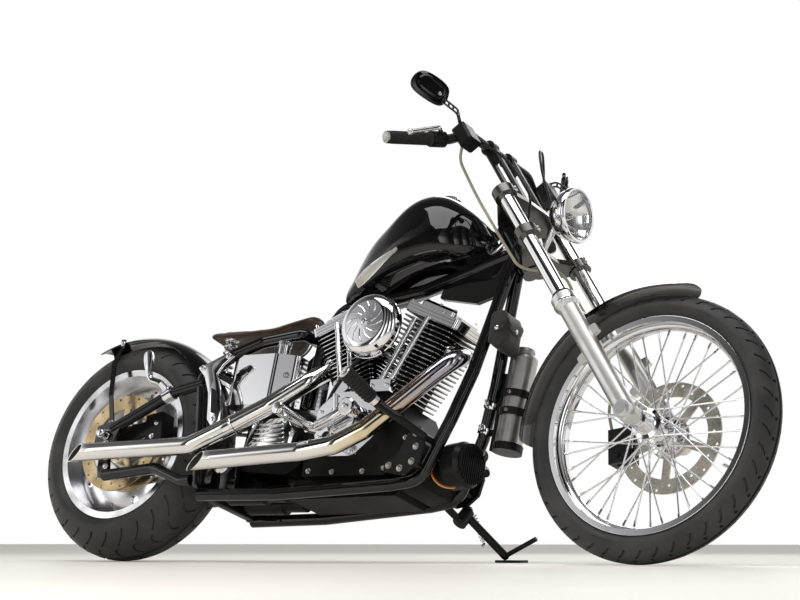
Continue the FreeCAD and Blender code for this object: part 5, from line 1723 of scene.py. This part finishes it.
@dataclass
class Padded:
    """A leather piece that swells from its plain solid.

    Attributes:
        shrink: How much smaller it starts, in metres.
        cap: How far a point may move, in metres.
    """

    name: str
    node: str
    voxel: float = 0.004
    shrink: float = 0.0015
    pressure: float = 4.0
    cap: float = 0.005
    fill: float = 0.5
    frames: int = 20

    def settled(self, piece: bpy.types.Object) -> list[Vector]:
        """Run the cloth for its frames and give where its points come to rest.

        Args:
            piece: The remeshed piece.

        Returns:
            The points, each within the cap of where it started.
        """
        scene = bpy.context.scene
        cloth = piece.modifiers.new("swelling", "CLOTH")
        cloth.settings.quality = 6
        cloth.settings.use_pressure = True
        cloth.settings.uniform_pressure_force = self.pressure
        cloth.settings.effector_weights.gravity = 0.0
        cloth.point_cache.frame_start = 1
        cloth.point_cache.frame_end = self.frames
        for frame in range(1, self.frames + 1):
            scene.frame_set(frame)
        swollen = piece.evaluated_get(bpy.context.evaluated_depsgraph_get())
        rest = []
        for vert, moved in zip(piece.data.vertices, swollen.data.vertices):
            step = moved.co - vert.co
            if step.length > self.cap:
                step = step.normalized() * self.cap
            rest.append(vert.co + step)
        piece.modifiers.remove(cloth)
        scene.frame_set(1)
        return rest

    def shrunk(self) -> bpy.types.Object:
        """Copy the soft solid, draw it in a little and remesh it into even cells.

        Returns:
            The even copy.
        """
        mesh = bmesh.new()
        mesh.from_mesh(bpy.data.objects[self.node].data)
        bmesh.ops.remove_doubles(mesh, verts=mesh.verts, dist=0.00001)
        mesh.normal_update()
        for vert in mesh.verts:
            vert.co -= vert.normal * self.shrink
        data = bpy.data.meshes.new(self.name)
        mesh.to_mesh(data)
        mesh.free()
        piece = bpy.data.objects.new(self.name, data)
        bpy.context.scene.collection.objects.link(piece)
        cells = piece.modifiers.new("cells", "REMESH")
        cells.mode = "VOXEL"
        cells.voxel_size = self.voxel
        even = bpy.data.meshes.new_from_object(piece.evaluated_get(bpy.context.evaluated_depsgraph_get()))
        piece.modifiers.remove(cells)
        piece.data = even
        bpy.data.meshes.remove(data)
        even.name = self.name
        return piece

    def build(self, coat: Coat) -> bpy.types.Object:
        """Let the copy swell, smooth it and give it its leather.

        Args:
            coat: Its leather.

        Returns:
            The swollen piece.
        """
        piece = self.shrunk()
        for vert, spot in zip(piece.data.vertices, self.settled(piece)):
            vert.co = spot
        piece.data.materials.clear()
        piece.data.materials.append(coat.material)
        piece.data.shade_smooth()
        smooth = piece.modifiers.new("smooth", "SUBSURF")
        smooth.levels = 1
        smooth.render_levels = 1
        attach(piece, Body.FRAME.value)
        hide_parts(self.node)
        LOG.info("made %s", self.name)
        return piece


@dataclass
class Seat(Section):
    """Thin leather solo seat with its rolled edge, stitches, bolt and coil springs.

    Attributes:
        outline: Stations along the seat as (x, half width, height of the edge).
        middle: The point that the stitches' inset points to, as (x, y).
        stitch: Share of that distance that a stitch covers.
    """

    outline: tuple = ((250, 56, 648), (262, 84, 645), (300, 108, 640), (345, 114, 635), (390, 116, 634),
                      (454, 102, 643), (489, 84, 653), (520, 62, 675), (553, 42, 694), (578, 25, 709))
    middle: Point = (410.0, 0.0)
    inset: float = 9.0
    spacing: float = 8.5
    stitch: float = 0.62
    spring: Point = (338.0, 80.0, 522.5)
    spring_height: float = 120.0
    spring_foot: Outline = ((0, 8), (0, 22), (3, 22.5), (6, 20), (6, 8))
    spring_cap: Outline = ((0, 8), (0, 21), (8, 21), (10, 19), (12, 8))
    nose: float = 566.0

    def edge(self) -> list[Vector]:
        """The seat's rim as a closed line, along one side and back along the other."""
        near = [Vector((x, -half, height)) for x, half, height in self.outline]
        return near + [Vector((spot.x, -spot.y, spot.z)) for spot in reversed(near)]

    def sewn(self, surface: Draper) -> Shape:
        """Sew a row of stitches inside the edge.

        Args:
            surface: The finished cushion.

        Returns:
            The stitches.
        """
        thread = Shape("seat_stitches")
        line = self.edge()
        for start, end in zip(line, line[1:] + line[:1]):
            count = max(1, round((end - start).length / self.spacing))
            for step in range(count):
                ends = []
                for share in (step / count, (step + self.stitch) / count):
                    spot = start.lerp(end, share)
                    inward = Vector((self.middle[0] - spot.x, self.middle[1] - spot.y, 0)).normalized()
                    spot = spot + inward * self.inset
                    ends.append(surface.lifted((spot.x, spot.y, ABOVE), DOWN, 0.3))
                thread.rod(ends[0], ends[1], 0.7, sides=6)
        return thread

    def sprung(self) -> Shape:
        """Make both springs with their rods and cups.

        Returns:
            The springs.
        """
        coils = Shape("seat_coils")
        for side in (1, -1):
            foot = sided(self.spring, side)
            top = foot + Vector((0, 0, self.spring_height))
            cap = top - Vector((0, 0, 16))
            coils.coil(foot + Vector((0, 0, 5)), cap, 17.5, 3.3, 6)
            coils.turned(foot, UP, self.spring_foot, 40)
            coils.turned(cap, UP, self.spring_cap, 40)
            coils.rod(foot, top - Vector((0, 0, 8)), 6.5, sides=20)
        return coils

    def build(self) -> None:
        """Make and dress the seat's pieces."""
        surface = Draper(Padded("seat_leather", "seat").build(self.finishes.seat_hide), self.axes.bike)
        welt = Shape("seat_welt")
        welt.swept([spot + Vector((0, 0, -3)) for spot in self.edge()], 3.2, 12, True)
        welt.finish(self.axes.on_frame, self.finishes.seat_hide)
        self.sewn(surface).finish(self.axes.on_frame, self.finishes.thread)
        self.sprung().finish(self.axes.on_frame, self.finishes.chrome, replaces=("seat_springs",))
        nose = Shape("seat_bolt")
        nose.bolt(surface.lifted((self.nose, 0, ABOVE), DOWN, 0.0), (-0.4, 0, 1), 8.0, 6.0, 24)
        nose.rod((self.nose, 0, 690), (self.nose + 6, 0, 655), 9.0, sides=20, bevel=1.0)
        nose.finish(self.axes.on_frame, self.finishes.chrome)


@dataclass
class Tank(Section):
    """Blank badges, knurled cap and front bracket of the tank.

    Attributes:
        plates: Inner and outer face of the bracket's plates.
    """

    badge_start: Point = (762.0, 764.0)
    badge_end: Point = (908.0, 842.0)
    badge_half: float = 13.0
    cells: tuple = (40, 8)
    bracket: tuple = ((1088, 834), (1100, 866), (1146, 892), (1190, 920), (1188, 898), (1146, 862),
                      (1104, 826))
    plates: tuple = (7.3, 11.3)
    bracket_bolts: tuple = ((1104, 848), (1168, 896))
    cap: Point = (960.0, 0.0, 1033.0)
    cap_axis: Point = (-0.12, 0.0, 1.0)
    knurls: int = 36
    button: Outline = ((0, 18), (1.5, 16), (1.5, 12), (0.4, 10), (0.4, 0))

    def badge(self, side: int, grow: float) -> Callable[[float, float], Point]:
        """The map from two shares to a point beside the badge on one side.

        Args:
            side: 1 on the left, -1 on the right.
            grow: How much wider than the plain badge.

        Returns:
            The map.
        """
        start = Vector((self.badge_start[0], 0, self.badge_start[1]))
        end = Vector((self.badge_end[0], 0, self.badge_end[1]))
        along = (end - start).normalized()
        across = Vector((along.z, 0, -along.x))
        start -= along * grow
        end += along * grow

        def place(share: float, over: float) -> Point:
            """A point of the badge, held off the tank."""
            half = self.badge_half * (0.62 + 2.4 * share * (1 - share) ** 2.4 - 0.34 * share) + grow
            return start.lerp(end, share) - across * half * (2 * over - 1) + Vector((0, side * 300, 0))

        return place

    def build(self) -> None:
        """Make and dress the tank's pieces."""
        surface = Draper(bpy.data.objects["fuel_tank"], self.axes.bike)
        rims = Shape("badge_rims")
        plates = Shape("badge_plates")
        for side in (1, -1):
            rims.patch(surface, self.badge(side, 2.2), (0, -side, 0), self.cells, 0.1, 2.0)
            plates.patch(surface, self.badge(side, 0.0), (0, -side, 0), self.cells, 1.8, 1.4)
        rims.finish(self.axes.on_frame, self.finishes.chrome)
        plates.finish(self.axes.on_frame, self.finishes.badge)
        cap = Shape("cap_knurls")
        turn = Shape.towards(self.cap, self.cap_axis)
        for y, x in circle(self.knurls, 30):
            spot = turn @ Vector((x, y, -5))
            cap.rod(spot, spot + turn.to_3x3() @ Vector((0, 0, 8)), 1.5, sides=8)
        cap.turned(turn @ Vector((0, 0, 11.8)), self.cap_axis, self.button, 40)
        cap.finish(self.axes.on_frame, self.finishes.chrome)
        bracket = Shape("neck_bracket")
        inner, outer = self.plates
        for low, high in ((inner, outer), (-outer, -inner)):
            bracket.slab(self.bracket, SIDE, low, high, 1.0)
        for x, z in self.bracket_bolts:
            for side in (-1, 1):
                bracket.bolt((x, side * outer, z), (0, side, 0), 7.0, 6.0)
        bracket.finish(self.axes.on_frame, self.finishes.chrome)


@dataclass
class OilTank(Section):
    """Knurled cap and bolts of the oil tank."""

    neck: Point = (552.0, -98.0, 592.0)
    cap: Outline = ((-4, 17.1), (-4, 19), (8, 19), (11, 16), (12, 0))
    knurls: int = 24
    bolts: tuple = (((584, 107, 500), (0.4, 1, 0)), ((404, 120, 420), (0, 1, 0)))

    def build(self) -> None:
        """Make and dress the oil tank's pieces."""
        cap = Shape("oil_cap")
        cap.turned(self.neck, UP, self.cap, 48)
        for y, x in circle(self.knurls, 19):
            spot = Vector(self.neck) + Vector((x, y, -3))
            cap.rod(spot, spot + Vector((0, 0, 10)), 1.1, sides=8)
        cap.finish(self.axes.on_frame, self.finishes.chrome)
        bolts = Shape("oil_tank_bolts")
        for side in (1, -1):
            for spot, way in self.bolts:
                bolts.bolt(sided(spot, side), sided(way, side), 7.0, 6.0)
        bolts.finish(self.axes.on_frame, self.finishes.bolts)


@dataclass
class RearEnd(Section):
    """Side castings, dampers, drop plates, fender bolts, lamp and brake pieces round the rear wheel.

    Attributes:
        bolts: The left bolts as (place, radius, height, sides).
        paddle: Half widths of a folded peg along its length.
    """

    casting: tuple = ((320, 508), (350, 480), (377, 428), (391, 352), (408, 334), (441, 348), (437, 382),
                      (418, 440), (394, 486), (410, 512), (442, 538), (420, 550), (356, 522))
    recess: tuple = ((384, 446), (400, 372), (424, 366), (406, 436))
    casting_bolts: tuple = ((414, 352), (336, 506), (424, 538))
    outside: float = 168.3
    thick: float = 8.7
    damper: Point = (398, 46, 176)
    damper_body: Outline = ((0, 0), (0, 20), (22, 20), (24, 31), (150, 31), (156, 24), (222, 24), (226, 14),
                            (240, 14), (240, 0))
    pivot: Point = (430, 240)
    plate: tuple = ((366, 142), (490, 142), (484, 236), (462, 284), (404, 286), (378, 230))
    plate_faces: tuple = (98, 116)
    pivot_ring: Outline = ((0, 27), (6, 27), (8, 25), (8, 15), (5, 13), (5, 0))
    bolts: tuple = (((-76, 93.5, 637), 6.0, 5.0, 20), ((2, 145, 366), 6.0, 5.0, 6),
                    ((30, 159, 230), 7.0, 6.0, 6), ((12, 159, 300), 7.0, 6.0, 6))
    axle_end: Point = (0, 171.5, 325)
    axle_nut: Outline = ((0, 14), (0.5, 15), (9, 14), (14, 10), (16, 0))
    caliper_bolts: tuple = ((146, -122, 330), (154, -122, 370))
    paddle_foot: Point = (148, 486)
    paddle_way: Point = (-0.27, 0.96)
    paddle: tuple = ((0, 6), (14, 9), (34, 13), (54, 16), (72, 15), (84, 8))
    paddle_faces: tuple = (179, 191)
    front_mount: tuple = ((1016, 168), (1078, 182), (1098, 232), (1108, 262), (1092, 272), (1054, 262),
                          (1044, 228), (1014, 196))

    def castings(self) -> None:
        """Make both side castings and the panels pressed into them."""
        castings = Shape("side_castings")
        panels = Shape("casting_panels")
        for side in (1, -1):
            face = side * (self.outside + self.thick)
            castings.slab(self.casting, SIDE, *sorted((side * self.outside, face)), 2.5)
            panels.slab(self.recess, SIDE, *sorted((face, face + side * 0.4)), 0.0)
            for x, z in self.casting_bolts:
                castings.bolt((x, -face, z), (0, -side, 0), 7.0, 5.0)
        castings.finish(self.axes.on_frame, self.finishes.chrome)
        panels.finish(self.axes.on_frame, self.finishes.satin_black)

    def pivots(self) -> None:
        """Make the dampers, and the plates and rings at the swing arm's pivot."""
        dampers = Shape("shock_absorbers")
        for side in (1, -1):
            dampers.turned(sided(self.damper, side), AHEAD, self.damper_body, 40)
        dampers.block((30, 226, 52), Matrix.Translation((383, 0, 170)), 3)
        dampers.finish(self.axes.on_frame, self.finishes.satin_black)
        plates = Shape("pivot_plates")
        inner, outer = self.plate_faces
        for low, high in ((inner, outer), (-outer, -inner)):
            plates.slab(self.plate, SIDE, low, high, 3)
        plates.finish(self.axes.on_frame, self.finishes.gloss)
        rings = Shape("pivot_rings")
        x, z = self.pivot
        for side in (1, -1):
            rings.turned((x, side * outer, z), (0, side, 0), self.pivot_ring, 48)
            rings.bolt((x, side * (outer + 5), z), (0, side, 0), 9.0, 5.0)
        rings.finish(self.axes.on_frame, self.finishes.chrome)

    def fastened(self) -> None:
        """Make the bolts and nuts round the rear wheel."""
        bolts = Shape("rear_end_bolts")
        for side in (1, -1):
            for spot, radius, height, sides in self.bolts:
                bolts.bolt(sided(spot, side), (0, side, 0), radius, height, sides)
            bolts.turned(sided(self.axle_end, side), (0, side, 0), self.axle_nut, 32)
        for spot in self.caliper_bolts:
            bolts.bolt(spot, RIGHT, 6.0, 5.0, 20)
        bolts.finish(self.axes.on_frame, self.finishes.chrome)

    def build(self) -> None:
        """Make and dress the rear pieces."""
        self.castings()
        self.pivots()
        self.fastened()
        paddles = Shape("peg_paddles")
        along = Vector(self.paddle_way).normalized()
        across = Vector((along.y, -along.x))
        foot = Vector(self.paddle_foot)
        edge = [tuple(foot + along * reach + across * half) for reach, half in self.paddle]
        edge += [tuple(foot + along * reach - across * half) for reach, half in reversed(self.paddle)]
        inner, outer = self.paddle_faces
        for low, high in ((inner, outer), (-outer, -inner)):
            paddles.slab(rounded(edge, 2), SIDE, low, high, 2.5)
        paddles.finish(self.axes.on_frame, self.finishes.chrome)
        mounts = Shape("engine_mounts")
        mounts.slab(self.front_mount, SIDE, -78, 78, 3)
        mounts.block((210, 176, 12), Matrix.Translation((530, 0, 174)), 2)
        mounts.rod((430, -98, 240), (430, 98, 240), 40, sides=40, bevel=2)
        mounts.finish(self.axes.on_frame, self.finishes.engine_black)
        lamp = Shape("fender_lamp")
        tilt = Matrix.Rotation(math.radians(-24), 4, "Y")
        lamp.block((22, 60, 26), Matrix.Translation((-158, 0, 628)) @ tilt, 4)
        lamp.rod((-132, 0, 640), (-156, 0, 630), 9.0, sides=20)
        lamp.finish(self.axes.on_frame, self.finishes.satin_black)


@dataclass
class FootPieces(Section):
    """Ribs of the rubber pegs, knurls of the side arm, plate bolts and the gearbox's bright cover."""

    peg_start: Point = (1006.0, 237.0, 360.0)
    peg_way: Point = (-0.33, 0.9, 0.4)
    tip: Outline = ((0, 18), (3, 18), (5, 15), (5, 6), (3, 5), (3, 0))
    root: Outline = ((-4, 11.2), (-4, 15), (9, 15), (9, 11.2))
    arm_start: Point = (764.0, -190.0, 312.0)
    arm_way: Point = (-0.12, -1.0, 0.1)
    arm_tip: Outline = ((0, 12), (0, 17), (6, 17), (8, 14), (8, 0))
    arm_boss: Outline = ((0, 0), (0, 25), (3, 25), (6, 21), (6, 0))
    arm_bolts: tuple = ((880, -196, 366), (772, -192, 312))
    plate_bolts: tuple = ((1092, 298), (1098, 262), (1092, 222), (1058, 204), (1022, 212))
    cover: tuple = ((506, 264), (664, 268), (677, 320), (637, 366), (524, 360))
    cover_screws: tuple = ((516, 272), (654, 276), (664, 318), (632, 356), (530, 352))

    def build(self) -> None:
        """Make and dress the foot pieces."""
        ribs = Shape("peg_ribs")
        tips = Shape("peg_tips")
        for side in (1, -1):
            start = sided(self.peg_start, side)
            way = sided(self.peg_way, side).normalized()
            for step in range(9):
                radius = 19.6 + 0.2 * step
                outline = ((0, 17), (1, radius), (5, radius + 0.4), (6, 17))
                ribs.turned(start + way * (16 + 10.5 * step), way, outline, 32)
            tips.turned(start + way * 112, way, self.tip, 32)
            tips.turned(start, way, self.root, 32)
        ribs.finish(self.axes.on_frame, self.finishes.rubber)
        tips.finish(self.axes.on_frame, self.finishes.alloy)
        knurls = Shape("arm_knurls")
        start = Vector(self.arm_start)
        way = Vector(self.arm_way).normalized()
        for step in range(13):
            radius = 14.4 + 0.15 * step
            outline = ((0, 12.5), (0.6, radius), (4.6, radius), (5.2, 12.5))
            knurls.turned(start + way * (26 + 7 * step), way, outline, 28)
        knurls.turned(start + way * 119, way, self.arm_tip, 32)
        knurls.turned((880, -190.2, 366), RIGHT, self.arm_boss, 48)
        for spot in self.arm_bolts:
            knurls.bolt(spot, RIGHT, 8.0, 6.0, 24)
        knurls.finish(self.axes.on_frame, self.finishes.chrome)
        sleeve = Shape("arm_sleeve")
        sleeve.rod((784, -178, 318), (878, -178, 365), 15.0, 13.0, 32, 1.5)
        sleeve.finish(self.axes.on_frame, self.finishes.alloy)
        bolts = Shape("plate_bolts")
        for side in (1, -1):
            for x, z in self.plate_bolts:
                bolts.bolt((x, side * 152, z), (0, side, 0), 7.5, 6.0)
            bolts.bolt((1010, side * 242, 362), sided(self.peg_way, side), 6.0, 4.0)
        bolts.finish(self.axes.on_frame, self.finishes.bolts)
        cover = Shape("gearbox_cover")
        cover.slab(self.cover, SIDE, 128.0, 133.0, 2.5)
        for step in range(6):
            cover.block((118 - 5 * step, 4, 6), Matrix.Translation((590 - step, -134, 282 + 13 * step)), 1.4)
        for x, z in self.cover_screws:
            cover.bolt((x, -133, z), RIGHT, 5.0, 5.0, 20)
        cover.finish(self.axes.on_frame, self.finishes.chrome)


@dataclass
class Luggage(Section):
    """Leather pouch with its flap and studs, the bottle's cap and the bright clamps on the downtube.

    Attributes:
        clamps: Places of the clamps along it.
        studs: Points beside the pouch's studs, each with the way to the pouch.
    """

    foot: Point = (1232.0, 66.0, 319.0)
    tilt: Point = (0.038, 0.0, 1.0)
    cap: Outline = ((0, 24.1), (0, 25.4), (10, 25.4), (12, 24.4), (16.4, 23), (17.4, 20), (17.4, 0))
    knurls: int = 30
    tube: tuple = ((1172, 58, 500), (1143, 80, 361))
    clamps: tuple = (0.38, 0.86)
    clamp: Outline = ((0, 17.1), (0, 21), (2, 22), (16, 22), (18, 21), (18, 17.1))
    screws: tuple = (102, 152)
    studs: tuple = (((1229, -140, 616), LEFT), ((1320, -19, 620), (-1, 0, 0)))
    stud: Outline = ((0, 6.5), (1.2, 6.5), (2.6, 4.6), (3.2, 0))

    @staticmethod
    def side_flap(share: float, over: float) -> Point:
        """A point beside the flap on the pouch's outer face."""
        sag = 12 * abs(2 * share - 1) ** 2
        return 1208 + 42 * share, -140, 606 + sag + over * (62 - sag - 5 * share)

    @staticmethod
    def front_flap(share: float, over: float) -> Point:
        """A point ahead of the flap on its front face."""
        sag = 12 * abs(2 * share - 1) ** 2
        return 1320, -56 + 74 * share, 610 + sag + over * (36 - sag)

    def pouch(self) -> None:
        """Make the pouch with its flap and studs."""
        pouch = Padded("pouch_leather", "tool_pouch", cap=0.004, fill=0.7)
        surface = Draper(pouch.build(self.finishes.black_hide), self.axes.bike)
        flap = Shape("pouch_flap")
        flap.patch(surface, self.side_flap, LEFT, (18, 18), 0.4, 2.4)
        flap.patch(surface, self.front_flap, (-1, 0, 0), (18, 12), 0.4, 2.4)
        flap.finish(self.axes.on_frame, self.finishes.black_hide)
        studs = Shape("pouch_studs")
        for spot, way in self.studs:
            studs.turned(surface.lifted(spot, way, 2.6), -Vector(way), self.stud, 24)
        studs.finish(self.axes.on_frame, self.finishes.chrome)

    def build(self) -> None:
        """Make and dress the luggage."""
        self.pouch()
        foot = Vector(self.foot)
        up = Vector(self.tilt).normalized()
        cap = Shape("bottle_cap")
        cap.turned(foot + up * 268, up, self.cap, 48)
        turn = Shape.towards(foot + up * 269, up)
        for y, x in circle(self.knurls, 25.2):
            spot = turn @ Vector((x, y, 0))
            cap.rod(spot, spot + up * 9, 0.9, sides=6)
        cap.finish(self.axes.on_frame, self.finishes.bottle)
        clamps = Shape("tube_clamps")
        start, end = [Vector(spot) for spot in self.tube]
        way = (end - start).normalized()
        for share in self.clamps:
            spot = start.lerp(end, share)
            clamps.turned(spot - way * 9, way, self.clamp, 40)
            clamps.block((14, 16, 16), Matrix.Translation(spot + Vector((6, -26, 0))), 1.5)
            clamps.bolt(spot + Vector((6, -34, 0)), RIGHT, 5.0, 5.0, 20)
        clamps.finish(self.axes.on_frame, self.finishes.chrome)
        screws = Shape("holder_screws")
        for height in self.screws:
            screws.bolt(foot + up * height + Vector((0, -41, 0)), RIGHT, 4.5, 4.0, 20)
        screws.finish(self.axes.on_frame, self.finishes.bolts)


@dataclass
class RegulatorFins(Section):
    """Upright cooling fins on the regulator's face, its wires and the engine's breather hose."""

    face: Point = (1178.0, -13.4, 257.4)
    heading: float = -5.7
    radius: float = 54.0
    fins: int = 6
    pitch: float = 8.0
    wire: tuple = ((1092, -62, 238), (1100, -70, 214), (1120, -66, 190), (1150, -58, 178), (1160, -40, 186))
    wire_gap: float = 6.0
    breather: tuple = ((872, -150, 528), (846, -158, 488), (800, -150, 440), (764, -130, 396),
                       (744, -112, 344), (738, -104, 296))

    def build(self) -> None:
        """Make and dress the regulator's pieces."""
        fins = Shape("regulator_fins")
        level = Matrix.Translation(self.face) @ Matrix.Rotation(math.radians(self.heading), 4, "Z")
        for step in range(-self.fins, self.fins + 1):
            across = self.pitch * step
            tall = 2 * math.sqrt(self.radius ** 2 - across ** 2)
            fins.block((12, 2.6, tall), level @ Matrix.Translation((5, across, 0)), 0.6)
        fins.finish(self.axes.on_frame, self.finishes.satin_black)
        wires = (("yellow_wire", self.finishes.yellow_wire), ("red_wire", self.finishes.red_wire))
        for index, (name, coat) in enumerate(wires):
            shift = Vector((self.wire_gap * index, -self.wire_gap * index, 0))
            wire = Shape(name)
            wire.swept([Vector(spot) + shift for spot in self.wire], 2.2, 10)
            wire.finish(self.axes.on_frame, coat)
        hose = Shape("breather_hose")
        hose.swept([Vector(spot) for spot in self.breather], 5.5, 14)
        hose.finish(self.axes.on_frame, self.finishes.cable)


@dataclass
class Stand(Section):
    """Twin springs, their pins and the pivot bolt of the side stand."""

    pivot: Point = (1066.0, 165.0, 178.0)
    foot: Point = (1150.0, 262.0, 0.0)
    axis: Point = (0.149, 0.491, 0.858)
    offsets: tuple = (-5.5, 5.5)

    def build(self) -> None:
        """Make and dress the stand's pieces."""
        axis = Vector(self.axis).normalized()
        pivot = Vector(self.pivot)
        leg = Vector(self.foot) - pivot
        springs = Shape("stand_springs")
        for offset in self.offsets:
            side = axis.cross(leg).normalized() * offset
            top = pivot + axis * 26 + side
            springs.coil(top + leg * 0.08, pivot + leg * 0.42 + axis * 16 + side, 4.2, 1.1, 9)
        springs.rod(pivot + axis * 14, pivot + axis * 27, 4.0, sides=20)
        springs.rod(pivot + leg * 0.44 + axis * 6, pivot + leg * 0.44 + axis * 17, 3.5, sides=16)
        springs.finish(self.axes.on_stand, self.finishes.steel)
        bolts = Shape("stand_bolt")
        bolts.bolt(pivot + axis * 20, axis, 9.0, 6.0)
        bolts.finish(self.axes.on_frame, self.finishes.bolts)


@dataclass
class Mirrors(Section):
    """Rounded heads, slotted arms, glass and bolts of both mirrors."""

    place: Point = (104.0, 330.0, 1064.0)
    back: tuple = ((-57, -26), (-30, -38), (40, -36), (57, -14), (50, 24), (20, 38), (-42, 34), (-57, 8))
    dome: tuple = ((-44, -18), (-26, -28), (30, -26), (44, -10), (38, 16), (16, 27), (-32, 24), (-44, 4))
    glass: tuple = ((-53, -23), (-28, -35), (38, -33), (53, -12), (47, 22), (19, 35), (-39, 31), (-53, 7))
    turns: Point = (36.2, 35.0, 20.0)
    foot: Point = (92.0, 212.0, 986.3)
    knee: Point = (116.0, 250.0, 1006.0)
    gap: float = 6.0

    def arm(self, shape: Shape, head: Matrix, side: int) -> None:
        """Add one slotted arm: two thin rails with round bars between them.

        Args:
            shape: The shape to add to.
            head: The mirror head's frame.
            side: 1 on the left, -1 on the right.
        """
        end = head @ Vector((12, -side * 36, -12))
        bend = head @ Vector((26, -side * 50, -22))
        foot, knee = sided(self.foot, side), sided(self.knee, side)
        rise = Vector((0, 0, 6))
        path = [foot + rise, foot.lerp(knee, 0.5) + rise, knee, knee.lerp(bend, 0.34),
                knee.lerp(bend, 0.67), bend, end]
        wide = (bend - knee).cross(head.to_3x3() @ Vector(AHEAD)).normalized() * self.gap
        for shift in (wide, -wide):
            shape.swept([spot + shift for spot in path], 2.8, 10)
        for spot in path:
            shape.rod(spot - wide, spot + wide, 3.0, sides=12)
        shape.rod(foot, foot + Vector((0, 0, 12)), 10, sides=28, bevel=1.0)

    def build(self) -> None:
        """Make and dress the mirrors."""
        heads = Shape("mirror_heads")
        glass = Shape("mirror_glass")
        bolts = Shape("mirror_bolts")
        rake, swing, tilt = [math.radians(turn) for turn in self.turns]
        for side in (1, -1):
            head = Matrix.Translation(sided(self.place, side)) @ Matrix.Rotation(rake, 4, "Y")
            head = head @ Matrix.Rotation(side * swing, 4, "Z") @ Matrix.Rotation(side * tilt, 4, "X")
            plane = head @ Matrix(((0, 0, 1, 0), (side, 0, 0, 0), (0, 1, 0, 0), (0, 0, 0, 1)))
            heads.slab(rounded(self.back), plane, 0, 12, 3.5)
            heads.slab(rounded(self.dome), plane, 11, 21, 7)
            glass.slab(rounded(self.glass), plane, -0.9, 0.3, 0.4)
            self.arm(heads, head, side)
            bolts.bolt(head @ Vector((20.5, -side * 30, -8)), head.to_3x3() @ Vector(AHEAD), 4.5, 3.5, 20)
            bolts.bolt(sided(self.foot, side) + Vector((0, 0, 11.5)), UP, 5.0, 4.0)
        heads.finish(self.axes.on_fork, self.finishes.mirror_black, replaces=("mirrors",))
        glass.finish(self.axes.on_fork, self.finishes.mirror)
        bolts.finish(self.axes.on_fork, self.finishes.bolts)


PARTS: tuple = (RearWheel, FrontWheel, Fork, FrontBrake, Bars, Headlamp, FrontFender, Cylinders, Pushrods,
                EngineCovers, AirCleaner, Carburettor, Exhausts, Seat, Tank, OilTank, RearEnd, FootPieces,
                Luggage, RegulatorFins, Stand, Mirrors)


def corners() -> list:
    """The whole object's box, as plain lists."""
    low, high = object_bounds()
    return [[float(value) for value in low], [float(value) for value in high]]


def main() -> None:
    """Build the classes in order."""
    logging.basicConfig(level=logging.INFO, format="%(name)s: %(message)s")
    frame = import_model()
    axes = Axes(frame["joints"])
    Studio().build(axes.rear_axle)
    finishes = Finishes()
    finishes.dress(frame["nodes"])
    for part in PARTS:
        part(axes, finishes).build()


if __name__ == "__main__":
    main()
